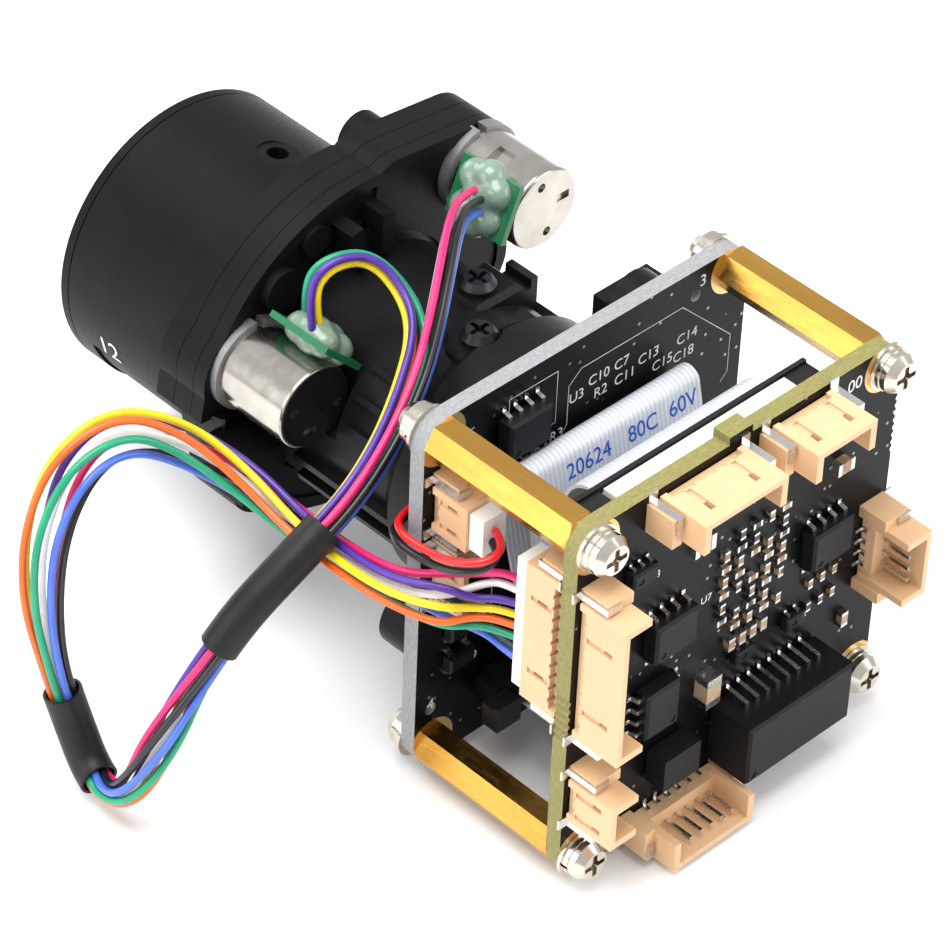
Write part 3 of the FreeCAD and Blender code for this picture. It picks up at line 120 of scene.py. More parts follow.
class StageSettings(bpy.types.PropertyGroup):
    """Floor tone and light strengths."""
    floor_tone: colour_property("Floor", "Colour of the floor", (0.93, 0.93, 0.93))
    key_power: bpy.props.FloatProperty(name="Key light", description="Power of the key light", default=2.6,
                                       min=0)
    fill_power: bpy.props.FloatProperty(name="Fill light", description="Power of the fill light",
                                        default=1.0, min=0)


# --- shader building ----------------------------------------------------------
def add_node(tree, kind, **inputs):
    """Node of a kind with some inputs set; underscores stand for spaces."""
    node = tree.nodes.new(kind)
    for key, value in inputs.items():
        node.inputs[key.replace("_", " ")].default_value = value
    return node


def new_group(name, inputs, outputs):
    """Empty node group with named sockets."""
    group = bpy.data.node_groups.new(name, "ShaderNodeTree")
    for socket, kind, default in inputs:
        made = group.interface.new_socket(socket, in_out="INPUT", socket_type=kind)
        if default is not None:
            made.default_value = default
    for socket, kind in outputs:
        group.interface.new_socket(socket, in_out="OUTPUT", socket_type=kind)
    return group, group.nodes.new("NodeGroupInput"), group.nodes.new("NodeGroupOutput")


def grain_group():
    """Fine moulded or cast grain: a height and a mask."""
    if "surface_grain" in bpy.data.node_groups:
        return bpy.data.node_groups["surface_grain"]
    group, source, sink = new_group(
        "surface_grain",
        [("Vector", "NodeSocketVector", None), ("Scale", "NodeSocketFloat", 2000.0),
         ("Detail", "NodeSocketFloat", 3.0)],
        [("Height", "NodeSocketFloat"), ("Mask", "NodeSocketFloat")])
    noise = add_node(group, "ShaderNodeTexNoise", Roughness=0.6)
    pits = add_node(group, "ShaderNodeTexVoronoi")
    blend = group.nodes.new("ShaderNodeMath")
    blend.operation = "MULTIPLY_ADD"
    blend.inputs[1].default_value = 0.4
    group.links.new(source.outputs["Vector"], noise.inputs["Vector"])
    group.links.new(source.outputs["Scale"], noise.inputs["Scale"])
    group.links.new(source.outputs["Detail"], noise.inputs["Detail"])
    group.links.new(source.outputs["Vector"], pits.inputs["Vector"])
    group.links.new(source.outputs["Scale"], pits.inputs["Scale"])
    group.links.new(pits.outputs["Distance"], blend.inputs[0])
    group.links.new(noise.outputs["Fac"], blend.inputs[2])
    group.links.new(blend.outputs[0], sink.inputs["Height"])
    group.links.new(noise.outputs["Fac"], sink.inputs["Mask"])
    return group


def patch_group():
    """Slow drift between two colours, with a few small marks of the second."""
    if "colour_drift" in bpy.data.node_groups:
        return bpy.data.node_groups["colour_drift"]
    group, source, sink = new_group(
        "colour_drift",
        [("Vector", "NodeSocketVector", None), ("Scale", "NodeSocketFloat", 150.0),
         ("Colour", "NodeSocketColor", (0.5, 0.5, 0.5, 1)), ("Shade", "NodeSocketColor", (0.4, 0.4, 0.4, 1)),
         ("Marks", "NodeSocketFloat", 0.3)],
        [("Color", "NodeSocketColor"), ("Mask", "NodeSocketFloat")])
    slow = add_node(group, "ShaderNodeTexNoise", Detail=4.0, Roughness=0.6)
    fine = add_node(group, "ShaderNodeTexNoise", Detail=6.0, Roughness=0.75)
    times = group.nodes.new("ShaderNodeMath")
    times.operation = "MULTIPLY"
    times.inputs[1].default_value = 9.0
    spots = add_node(group, "ShaderNodeMapRange")
    spots.inputs["From Min"].default_value = 0.58
    spots.inputs["From Max"].default_value = 0.72
    amount = group.nodes.new("ShaderNodeMath")
    amount.operation = "MULTIPLY"
    both = group.nodes.new("ShaderNodeMath")
    both.operation = "MAXIMUM"
    mix = group.nodes.new("ShaderNodeMix")
    mix.data_type = "RGBA"
    links = group.links
    links.new(source.outputs["Vector"], slow.inputs["Vector"])
    links.new(source.outputs["Scale"], slow.inputs["Scale"])
    links.new(source.outputs["Vector"], fine.inputs["Vector"])
    links.new(source.outputs["Scale"], times.inputs[0])
    links.new(times.outputs[0], fine.inputs["Scale"])
    links.new(fine.outputs["Fac"], spots.inputs["Value"])
    links.new(spots.outputs["Result"], amount.inputs[0])
    links.new(source.outputs["Marks"], amount.inputs[1])
    drift = add_node(group, "ShaderNodeMapRange")
    drift.inputs["From Min"].default_value = 0.35
    drift.inputs["From Max"].default_value = 0.75
    drift.inputs["To Max"].default_value = 0.6
    links.new(slow.outputs["Fac"], drift.inputs["Value"])
    links.new(drift.outputs["Result"], both.inputs[0])
    links.new(amount.outputs[0], both.inputs[1])
    links.new(both.outputs[0], mix.inputs["Factor"])
    links.new(source.outputs["Colour"], mix.inputs["A"])
    links.new(source.outputs["Shade"], mix.inputs["B"])
    links.new(mix.outputs["Result"], sink.inputs["Color"])
    links.new(both.outputs[0], sink.inputs["Mask"])
    return group


def place_group(tree, group, **inputs):
    """Group node with its own values."""
    node = tree.nodes.new("ShaderNodeGroup")
    node.node_tree = group
    for key, value in inputs.items():
        node.inputs[key].default_value = value
    return node


def rgba(colour, gain=1.0):
    """Colour with alpha."""
    return (colour[0] * gain, colour[1] * gain, colour[2] * gain, 1.0)


class Finish:
    """A material with a drifting colour, a roughness range and a fine bump."""

    def __init__(self, name, colour, shade=0.6, roughness=0.45, spread=0.1, metallic=0.0, grain=2500.0,
                 depth=0.02, drift=120.0, marks=0.2, stretch=(1, 1, 1), coat=0.0, subsurface=0.0,
                 specular=0.5):
        self.material = bpy.data.materials.new(name)
        self.material.use_nodes = True
        self.tree = self.material.node_tree
        self.links = self.tree.links
        self.shader = self.tree.nodes["Principled BSDF"]
        self.shader.inputs["Metallic"].default_value = metallic
        self.shader.inputs["Coat Weight"].default_value = coat
        self.shader.inputs["Coat Roughness"].default_value = 0.12
        self.shader.inputs["Specular IOR Level"].default_value = specular
        if subsurface:
            self.shader.inputs["Subsurface Weight"].default_value = subsurface
            self.shader.inputs["Subsurface Radius"].default_value = (1.0, 0.6, 0.35)
            self.shader.inputs["Subsurface Scale"].default_value = 0.6 * MM
        self.where = self.tree.nodes.new("ShaderNodeTexCoord")
        self.mapping = add_node(self.tree, "ShaderNodeMapping", Scale=stretch)
        self.links.new(self.where.outputs["Object"], self.mapping.inputs["Vector"])
        other = rgba(shade) if hasattr(shade, "__len__") else rgba(colour, shade)
        self.drift = place_group(
            self.tree, patch_group(), Scale=drift, Colour=rgba(colour), Shade=other, Marks=marks)
        self.grain = place_group(self.tree, grain_group(), Scale=grain)
        for node in (self.drift, self.grain):
            self.links.new(self.mapping.outputs["Vector"], node.inputs["Vector"])
        self.colour = self.drift.outputs["Color"]
        self.links.new(self.colour, self.shader.inputs["Base Color"])
        self.rough = add_node(self.tree, "ShaderNodeMapRange")
        self.rough.inputs["To Min"].default_value = max(roughness - spread, 0.03)
        self.rough.inputs["To Max"].default_value = min(roughness + spread, 1.0)
        self.links.new(self.grain.outputs["Mask"], self.rough.inputs["Value"])
        self.links.new(self.rough.outputs["Result"], self.shader.inputs["Roughness"])
        self.bump = add_node(self.tree, "ShaderNodeBump", Strength=0.6, Distance=depth * MM)
        self.links.new(self.grain.outputs["Height"], self.bump.inputs["Height"])
        self.links.new(self.bump.outputs["Normal"], self.shader.inputs["Normal"])

    def math(self, operation, first, second=None, third=None):
        """Math node; numbers are set and sockets are linked."""
        node = self.tree.nodes.new("ShaderNodeMath")
        node.operation = operation
        for index, value in enumerate((first, second, third)):
            if value is None:
                continue
            if hasattr(value, "links"):
                self.links.new(value, node.inputs[index])
            else:
                node.inputs[index].default_value = value
        return node.outputs[0]

    def axes(self):
        """X, Y and Z of the place on the object."""
        split = self.tree.nodes.new("ShaderNodeSeparateXYZ")
        self.links.new(self.where.outputs["Object"], split.inputs[0])
        return split.outputs["X"], split.outputs["Y"], split.outputs["Z"]

    def normal_y(self):
        """How far the surface faces along Y, from 0 to 1."""
        split = self.tree.nodes.new("ShaderNodeSeparateXYZ")
        self.links.new(self.where.outputs["Normal"], split.inputs[0])
        return self.math("ABSOLUTE", split.outputs["Y"])

    def over(self, mask, colour):
        """Lay a colour over the base where a mask is 1."""
        mix = self.tree.nodes.new("ShaderNodeMix")
        mix.data_type = "RGBA"
        self.links.new(mask, mix.inputs["Factor"])
        self.links.new(self.colour, mix.inputs["A"])
        mix.inputs["B"].default_value = rgba(colour)
        self.colour = mix.outputs["Result"]
        self.links.new(self.colour, self.shader.inputs["Base Color"])
        return mix

    def raise_by(self, mask, height):
        """Add a masked height to the bump."""
        lifted = self.math("MULTIPLY_ADD", mask, height, self.bump.inputs["Height"].links[0].from_socket)
        self.links.new(lifted, self.bump.inputs["Height"])


def use(finish, *names):
    """Give CAD nodes one finish."""
    for name in names:
        slots = NODES[name].data.materials
        slots.clear()
        slots.append(finish.material)


# --- finishes -----------------------------------------------------------------
def board_finish(name, settings, edge):
    """Black solder mask over faint traces, tinned vias, gold screw pads and a bare layered edge."""
    finish = Finish(name, settings.solder_mask, shade=1.8, roughness=0.36, spread=0.06, grain=4200.0,
                    depth=0.006, drift=90.0, marks=0.15, coat=0.0, specular=0.10)
    x, y, z = finish.axes()
    face = finish.math("GREATER_THAN", finish.normal_y(), 0.5)
    flat = add_node(finish.tree, "ShaderNodeCombineXYZ")
    finish.links.new(x, flat.inputs[0])
    finish.links.new(z, flat.inputs[1])
    traces = add_node(finish.tree, "ShaderNodeTexBrick", Scale=120.0, Mortar_Size=0.02, Brick_Width=0.8,
                      Row_Height=0.13)
    traces.offset_frequency = 3
    patches = add_node(finish.tree, "ShaderNodeTexNoise", Scale=170.0, Detail=1.0)
    finish.links.new(flat.outputs[0], traces.inputs["Vector"])
    finish.links.new(flat.outputs[0], patches.inputs["Vector"])
    shown = finish.math("MULTIPLY", finish.math("GREATER_THAN", patches.outputs["Fac"], 0.52), face)
    trace_mask = finish.math("MULTIPLY", finish.math("MULTIPLY", traces.outputs["Fac"], shown), 0.4)
    finish.over(trace_mask, (0.0095, 0.0100, 0.0100))
    finish.raise_by(trace_mask, 0.35)
    dots = add_node(finish.tree, "ShaderNodeTexVoronoi", Scale=460.0, Randomness=0.95)
    dots.voronoi_dimensions = "2D"
    finish.links.new(flat.outputs[0], dots.inputs["Vector"])
    via = finish.math("MULTIPLY", finish.math("LESS_THAN", dots.outputs["Distance"], 0.07), shown)
    finish.over(via, (0.30, 0.30, 0.28))
    off_x = finish.math("SUBTRACT", finish.math("ABSOLUTE", x), HOLE_REACH)
    off_z = finish.math("SUBTRACT", finish.math("ABSOLUTE", z), HOLE_REACH)
    reach = finish.math("SQRT", finish.math("ADD", finish.math("MULTIPLY", off_x, off_x),
                                            finish.math("MULTIPLY", off_z, off_z)))
    pad = finish.math("MULTIPLY", finish.math("LESS_THAN", reach, PAD_RADIUS), face)
    finish.over(pad, (0.72, 0.50, 0.20))
    finish.links.new(finish.math("MAXIMUM", pad, via), finish.shader.inputs["Metallic"])
    layers = add_node(finish.tree, "ShaderNodeTexNoise", Scale=2600.0, Detail=4.0)
    stretched = add_node(finish.tree, "ShaderNodeMapping", Scale=(1, 7, 1))
    finish.links.new(finish.where.outputs["Object"], stretched.inputs["Vector"])
    finish.links.new(stretched.outputs["Vector"], layers.inputs["Vector"])
    weave = finish.tree.nodes.new("ShaderNodeMix")
    weave.data_type = "RGBA"
    weave.inputs["A"].default_value = rgba(edge, 0.35)
    weave.inputs["B"].default_value = rgba(edge, 1.9)
    finish.links.new(layers.outputs["Fac"], weave.inputs["Factor"])
    bare = finish.over(finish.math("SUBTRACT", 1.0, face), edge)
    finish.links.new(weave.outputs["Result"], bare.inputs["B"])
    return finish


def ribbon_finish():
    """Pale laminate with a rib over each conductor."""
    finish = Finish("ribbon_laminate", (0.70, 0.73, 0.78), shade=0.86, roughness=0.30, spread=0.05,
                    grain=1500.0, depth=0.01, drift=60.0, marks=0.1, coat=0.3)
    phase = finish.math("MULTIPLY", finish.axes()[0], 2 * math.pi / RIBBON_PITCH)
    rib = finish.math("MULTIPLY_ADD", finish.math("SINE", phase), 0.5, 0.5)
    finish.over(finish.math("MULTIPLY", finish.math("POWER", rib, 3.0), 0.6), (0.42, 0.45, 0.50))
    finish.raise_by(rib, 6.0)
    return finish


def capacitor_finish():
    """Fired ceramic whose tone changes from chip to chip."""
    finish = Finish("fired_ceramic", (0.30, 0.17, 0.085), shade=0.5, roughness=0.42, spread=0.06, drift=300.0)
    cells = add_node(finish.tree, "ShaderNodeTexVoronoi", Scale=330.0)
    finish.links.new(finish.where.outputs["Object"], cells.inputs["Vector"])
    tone = finish.tree.nodes.new("ShaderNodeSeparateColor")
    finish.links.new(cells.outputs["Color"], tone.inputs[0])
    finish.over(finish.math("MULTIPLY", tone.outputs[0], 0.75), (0.46, 0.36, 0.25))
    dark = finish.math("GREATER_THAN", tone.outputs[1], 0.72)
    finish.over(dark, (0.02, 0.02, 0.022))
    return finish


def motor_end_finish():
    """Bright can whose end cap is black."""
    finish = Finish("capped_can", (0.58, 0.54, 0.48), shade=0.5, roughness=0.20, spread=0.09, grain=900.0,
                    depth=0.01, drift=230.0, marks=0.45)
    end = finish.math("GREATER_THAN", finish.normal_y(), 0.7)
    finish.over(end, (0.010, 0.010, 0.011))
    finish.links.new(finish.math("SUBTRACT", 1.0, end), finish.shader.inputs["Metallic"])
    return finish


def glass_finish():
    """Coated lens glass."""
    material = bpy.data.materials.new("coated_glass")
    material.use_nodes = True
    tree = material.node_tree
    shader = tree.nodes["Principled BSDF"]
    shader.inputs["Transmission Weight"].default_value = 0.85
    shader.inputs["Roughness"].default_value = 0.03
    shader.inputs["IOR"].default_value = 1.6
    shader.inputs["Coat Weight"].default_value = 0.6
    shader.inputs["Coat Roughness"].default_value = 0.02
    facing = add_node(tree, "ShaderNodeLayerWeight", Blend=0.35)
    tint = tree.nodes.new("ShaderNodeMix")
    tint.data_type = "RGBA"
    tint.inputs["A"].default_value = (0.10, 0.16, 0.24, 1)
    tint.inputs["B"].default_value = (0.34, 0.10, 0.30, 1)
    tree.links.new(facing.outputs["Facing"], tint.inputs["Factor"])
    tree.links.new(tint.outputs["Result"], shader.inputs["Base Color"])
    return SimpleNamespace(material=material)


def bead_finish():
    """Milky, slightly green glue."""
    finish = Finish("cured_glue", (0.42, 0.60, 0.46), shade=0.75, roughness=0.22, spread=0.06, grain=700.0,
                    depth=0.03, drift=400.0, marks=0.1, coat=0.5)
    finish.shader.inputs["Transmission Weight"].default_value = 0.55
    finish.shader.inputs["IOR"].default_value = 1.48
    return finish


def wire_finish(name, colour):
    """Glossy insulation with a few rubbed marks."""
    return Finish("wire_" + name, colour, shade=0.5, roughness=0.34, spread=0.06, grain=1800.0, depth=0.012,
                  drift=260.0, marks=0.25, coat=0.15)


class CAMERA_OT_paint_frame(bpy.types.Operator):
    """Give every node of the frame its finish"""
    bl_idname = "camera_module.paint_frame"
    bl_label = "Paint frame"

    def execute(self, context):
        settings = context.scene.module_finishes
        use(board_finish("main_solder_mask", settings, settings.main_edge), "main_board")
        use(board_finish("sensor_solder_mask", settings, settings.sensor_edge), "sensor_board")
        brass = Finish("turned_brass", settings.brass, shade=(0.50, 0.24, 0.05), roughness=0.26, spread=0.12,
                       metallic=1.0, grain=1500.0, depth=0.02, drift=130.0, marks=0.55, stretch=(1, 0.18, 1))
        use(brass, "standoffs")
        plated = Finish("nickel_plate", (0.72, 0.66, 0.56), shade=0.72, roughness=0.20, spread=0.08,
                        metallic=1.0, grain=2600.0, depth=0.008, drift=380.0, marks=0.35)
        use(plated, "board_screws", "spring_washers", "flat_washers")
        nylon = Finish("beige_nylon", settings.nylon, shade=0.84, roughness=0.46, spread=0.06, grain=2600.0,
                       depth=0.012, drift=160.0, marks=0.15, subsurface=0.15)
        use(nylon, "six_pin_sockets", "four_pin_sockets", "ten_pin_sockets", "two_pin_sockets")
        tinned = Finish("tin_plate", (0.72, 0.71, 0.69), shade=0.7, roughness=0.27, spread=0.08, metallic=1.0,
                        grain=2500.0, depth=0.012, drift=500.0, marks=0.3)
        use(tinned, "socket_contacts", "socket_clips", "chip_leads", "chip_terminals")
        white = Finish("white_nylon", (0.88, 0.87, 0.83), shade=0.9, roughness=0.42, spread=0.05,
                       subsurface=0.2, drift=200.0)
        use(white, "motor_plug", "filter_plug")
        epoxy = Finish("moulded_epoxy", (0.008, 0.008, 0.009), shade=1.9, roughness=0.46, spread=0.08,
                       grain=3800.0, depth=0.014, drift=240.0, marks=0.25, specular=0.15)
        use(epoxy, "network_transformer", "chip_packages", "image_sensor", "ribbon_socket_front")
        use(capacitor_finish(), "chip_capacitors")
        cream = Finish("cream_plastic", (0.86, 0.80, 0.66), shade=0.92, roughness=0.4, spread=0.05,
                       subsurface=0.1)
        use(cream, "ribbon_socket_rear")
        acetal = Finish("black_acetal", (0.009, 0.009, 0.010), shade=1.6, roughness=0.38, spread=0.06,
                        drift=260.0, specular=0.35)
        use(acetal, "ribbon_latch_rear", "ribbon_latch_front", "zoom_ring", "focus_ring", "filter_slider")
        pale = Finish("natural_acetal", (0.80, 0.79, 0.74), shade=0.88, roughness=0.4, spread=0.05,
                      subsurface=0.1)
        use(pale, "zoom_idler", "zoom_pinion", "focus_pinion")
        use(ribbon_finish(), "ribbon_cable")
        moulding = Finish("textured_moulding", settings.moulding, shade=2.0, roughness=0.44, spread=0.12,
                          grain=3400.0, depth=0.030, drift=150.0, marks=0.22, specular=0.12)
        use(moulding, "front_barrel", "case_middle", "case_rear", "bezel_ring", "front_cell", "zoom_carriage",
            "focus_carriage")
        smooth = Finish("smooth_moulding", (0.0055, 0.0055, 0.006), shade=1.8, roughness=0.34, spread=0.08,
                        grain=1800.0, depth=0.012, drift=170.0, marks=0.25, specular=0.15)
        use(smooth, "rear_barrel", "lens_base")
        use(glass_finish(), "front_glass")
        steel = Finish("ground_steel", (0.56, 0.56, 0.57), roughness=0.24, metallic=1.0, stretch=(1, 0.1, 1))
        use(steel, "guide_rods")
        can = Finish("bright_can", (0.58, 0.54, 0.48), shade=0.5, roughness=0.20, spread=0.09, metallic=1.0,
                     grain=900.0, depth=0.01, drift=230.0, marks=0.45)
        use(can, "zoom_motor")
        use(motor_end_finish(), "focus_motor")
        casting = Finish("grey_casting", (0.24, 0.24, 0.24), shade=1.7, roughness=0.5, spread=0.1,
                         metallic=0.75, grain=2600.0, depth=0.04, drift=500.0, marks=0.6)
        use(casting, "motor_brackets")
        green = Finish("green_mask", (0.010, 0.16, 0.055), shade=0.6, roughness=0.3, coat=0.3, drift=400.0)
        use(green, "motor_boards")
        copper = Finish("enamelled_copper", (0.60, 0.22, 0.07), shade=0.5, roughness=0.3, metallic=1.0,
                        stretch=(1, 9, 1))
        use(copper, "filter_coil")
        oxide = Finish("black_oxide", (0.035, 0.035, 0.038), shade=2.2, roughness=0.36, spread=0.1,
                       metallic=0.9, drift=400.0, marks=0.4)
        use(oxide, "case_screws")
        shrink = Finish("shrink_tube", (0.006, 0.006, 0.0065), shade=2.2, roughness=0.46, spread=0.1,
                        grain=900.0, depth=0.05, drift=220.0, marks=0.3, specular=0.3)
        use(shrink, "harness_sleeves")
        return {"FINISHED"}


# --- harness --------------------------------------------------------------------
# Motor and place in the bundle, across and along, of each wire, in the order of the plug's ways from the top.
MOTOR_WIRES = {
    "pink": ("zoom", -0.62, 0.78),
    "white": ("zoom", 0.0, 0.0),
    "purple": ("focus", 0.22, 0.97),
    "yellow": ("focus", 0.90, 0.43),
    "orange": ("focus", 0.90, -0.43),
    "green": ("focus", 0.22, -0.97),
    "black": ("zoom", -1.0, 0.0),
    "blue": ("zoom", -0.62, -0.78),
}
# Real length of each wire.
WIRE_LENGTHS = {
    "pink": 0.1498, "white": 0.1509, "purple": 0.1517, "yellow": 0.1539,
    "orange": 0.1549, "green": 0.1539, "black": 0.1474, "blue": 0.1479,
}
# Middle of the bundle, in metres, how loosely its wires lie there and its turn in degrees.
BUNDLE_ROUTE = [
    (0.0205, 0.0472, 0.0042, 1.9, 0), (0.0224, 0.0432, 0.0043, 1.5, 0),
    (0.0227, 0.0376, 0.0038, 1.3, 10), (0.0224, 0.0314, 0.0036, 1.3, 30),
    (0.0232, 0.0256, 0.0054, 1.5, 60), (0.0262, 0.0208, 0.0084, 1.9, 95),
    (0.0308, 0.0184, 0.0104, 2.2, 130), (0.0358, 0.0182, 0.0092, 2.2, 160),
    (0.0392, 0.0188, 0.0048, 2.0, 180), (0.0408, 0.0198, -0.0012, 1.7, 180),
    (0.0408, 0.0212, -0.0078, 1.0, 180), (0.0400, 0.0226, -0.0136, 1.0, 180),
    (0.0402, 0.0250, -0.0172, 1.0, 180), (0.0410, 0.0284, -0.0178, 1.0, 200),
    (0.0410, 0.0314, -0.0152, 1.3, 240), (0.0386, 0.0324, -0.0106, 1.6, 290),
    (0.0352, 0.0332, -0.0046, 1.0, 340), (0.0316, 0.0346, 0.0012, 1.0, 360),
    (0.0262, 0.0354, 0.0050, 1.0, 360), (0.0206, 0.0358, 0.0082, 1.0, 360),
]
BRANCH_ROUTES = {
    "zoom": [
        (0.0154, 0.0354, 0.0116, 1.1, 360), (0.0106, 0.0334, 0.0142, 1.2, 360),
        (0.0062, 0.0304, 0.0158, 1.3, 360), (0.0022, 0.0274, 0.0176, 1.3, 360),
        (-0.0016, 0.0244, 0.0186, 1.3, 360), (-0.0052, 0.0220, 0.0178, 1.2, 360),
    ],
    "focus": [
        (0.0152, 0.0336, 0.0098, 1.1, 360), (0.0104, 0.0312, 0.0116, 1.2, 360),
        (0.0064, 0.0286, 0.0134, 1.3, 360), (0.0048, 0.0256, 0.0152, 1.2, 360),
        (0.0056, 0.0220, 0.0178, 1.1, 360), (0.0092, 0.0206, 0.0182, 1.1, 360),
        (0.0114, 0.0203, 0.0160, 1.2, 360),
    ],
}
# The two leads of the filter, side by side.
FILTER_ROUTE = [
    (0.0169, 0.0487, 0.0106), (0.0176, 0.0506, 0.0106), (0.0198, 0.0508, 0.0102), (0.0214, 0.0484, 0.0096),
    (0.0214, 0.0448, 0.0088), (0.0206, 0.0414, 0.0078), (0.0186, 0.0390, 0.0070), (0.0140, 0.0384, 0.0064),
]
FILTER_LEADS = {"red": 0.62 * MM, "black": -0.62 * MM}
LEAD_COLOURS = {"red": (0.72, 0.008, 0.012), "black": (0.010, 0.010, 0.011)}
# Wires of one motor lean to one side as they leave the plug, and fan out again over its board.
SIDE_LEAN = 0.75 * MM
FAN_SHARE = 0.25
PAD_SPREAD = 1.5
PIN_PITCH = 1.25 * MM
PLUG_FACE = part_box("motor_plug")[0].y
PLUG_ROW_X = 17.0 * MM
PLUG_MIDDLE_Z = 3.85 * MM
# Where each motor's axis is, X and Z, the way its board looks in degrees, and the board's shift sideways.
MOTORS = {
    "zoom": (19.4 * MM * math.cos(math.radians(134.6)), 19.4 * MM * math.sin(math.radians(134.6)), 22, 0.0),
    "focus": (13.2 * MM, 6.24 * MM, 135, -1.2 * MM),
}
MOTOR_BOARD_Y = 20.6 * MM
# From a motor's axis to where the wires end, just inside the board's face.
WIRE_END_REACH = 4.95 * MM


def board_face(motor):
    """Middle of a motor board's face, and the way the face looks."""
    x, z, angle, shift = MOTORS[motor]
    normal = Vector((math.cos(math.radians(angle)), 0, math.sin(math.radians(angle))))
    sideways = Vector((-normal.z, 0, normal.x))
    return Vector((x, MOTOR_BOARD_Y, z)) + normal * WIRE_END_REACH + sideways * shift, normal


def carried_axes(route, along):
    """Middle, across and along axes at each point of a route, turned as far as it says."""
    points = [Vector(place[:3]) for place in route]
    placed = []
    for index, point in enumerate(points):
        ahead = points[min(index + 1, len(points) - 1)] - points[max(index - 1, 0)]
        ahead.normalize()
        along = (along - ahead * along.dot(ahead)).normalized()
        across = along.cross(ahead)
        turn = math.radians(route[index][4])
        placed.append((point, across * math.cos(turn) + along * math.sin(turn),
                       along * math.cos(turn) - across * math.sin(turn)))
    return placed


def wire_points(name, bundle_radius):
    """Route of one wire from the plug to its motor's board."""
    motor, across_share, along_share = MOTOR_WIRES[name]
    up = (3.5 - list(MOTOR_WIRES).index(name)) * PIN_PITCH
    side = -SIDE_LEAN if motor == "zoom" else SIDE_LEAN
    points = [
        Vector((PLUG_ROW_X, PLUG_FACE, PLUG_MIDDLE_Z + up)),
        Vector((PLUG_ROW_X + 0.4 * MM + side * 0.4, PLUG_FACE - 2.2 * MM, PLUG_MIDDLE_Z + up * 0.95)),
        Vector((PLUG_ROW_X + 1.4 * MM + side * 1.1, PLUG_FACE - 3.9 * MM, PLUG_MIDDLE_Z + up * 0.75)),
    ]
    route = BUNDLE_ROUTE + BRANCH_ROUTES[motor]
    same_motor = [place for place in MOTOR_WIRES.values() if place[0] == motor]
    mean_across = sum(place[1] for place in same_motor) / len(same_motor)
    for index, (middle, across, along) in enumerate(carried_axes(route, Vector((0, 0, 1)))):
        share = across_share if index < len(BUNDLE_ROUTE) else across_share - mean_across
        reach = bundle_radius * route[index][3]
        offset = across * (share * reach) + along * (along_share * reach)
        points.append(middle + offset)
    points[3].z += up * FAN_SHARE
    face, normal = board_face(motor)
    offset *= PAD_SPREAD
    points.append(face + offset - normal * offset.dot(normal))
    return points


def lay_wire(name, node, points, colour):
    """One insulated wire on a smooth curve, in place of its plain solid."""
    settings = bpy.context.scene.module_harness
    curve = bpy.data.curves.new("insulated_wire_" + name, "CURVE")
    curve.dimensions = "3D"
    curve.resolution_u = 8
    curve.bevel_depth = settings.wire_diameter / 2
    curve.bevel_resolution = 4
    curve.use_fill_caps = True
    spline = curve.splines.new("NURBS")
    spline.points.add(len(points) - 1)
    for knot, place in zip(spline.points, points):
        knot.co = (*place, 1.0)
    spline.order_u = 3
    spline.use_endpoint_u = True
    wire = bpy.data.objects.new("insulated_wire_" + name, curve)
    bpy.context.scene.collection.objects.link(wire)
    curve.materials.append(wire_finish(name, colour).material)
    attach(wire, ROOT)
    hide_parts(node)
    return wire


class CAMERA_OT_add_wires(bpy.types.Operator):
    """Lay the eight motor wires from the plug to the two motors"""
    bl_idname = "camera_module.add_wires"
    bl_label = "Add wires"

    def execute(self, context):
        settings = context.scene.module_harness
        bundle_radius = settings.wire_pitch / 2 / math.sin(math.pi / 7)
        for name, length in WIRE_LENGTHS.items():
            points = wire_points(name, bundle_radius)
            wire = lay_wire(name, "wire_" + name, points, getattr(settings, name))
        for name, side in FILTER_LEADS.items():
            points = [Vector(place) + Vector((0, side * 0.4, side)) for place in FILTER_ROUTE]
            lay_wire("filter_" + name, "filter_wire_" + name, points, LEAD_COLOURS[name])
        return {"FINISHED"}


# --- glue and prints --------------------------------------------------------------
# Middle of each lump of a bead along Y and along its board, how far it stands off and its radius, in mm.
BEADS = {
    "zoom": [(-1.4, 1.6, 0.2, 1.6), (-1.4, -1.4, 0.2, 1.6), (0.1, 2.2, 0.2, 1.6), (0.1, 0.1, 0.3, 1.9),
             (0.0, -2.2, 0.2, 1.5), (1.4, 1.2, 0.2, 1.6), (1.3, -1.4, 0.2, 1.5)],
    "focus": [(-1.3, 1.1, 0.2, 1.5), (-1.2, -1.1, 0.2, 1.5), (0.2, 1.1, 0.3, 1.7), (0.3, -0.9, 0.3, 1.8),
              (1.7, 0.9, 0.2, 1.5), (1.6, -1.0, 0.2, 1.4)],
}
# Ends of each printed line on the rear face of the front board, X and Z in mm.
BOARD_LINES = [
    [(3.0, 9.6), (2.4, 10.4), (2.4, 14.5), (1.0, 15.7), (-11.1, 15.7), (-17.5, 9.4), (-17.5, 5.3),
     (-16.7, 4.5)],
    [(3.8, 16.9), (9.4, 16.9), (9.4, 11.4), (3.8, 11.4), (3.8, 16.9)],
    [(13.4, 16.2), (16.6, 16.2)],
    [(10.4, 10.2), (10.4, -6.4)],
]
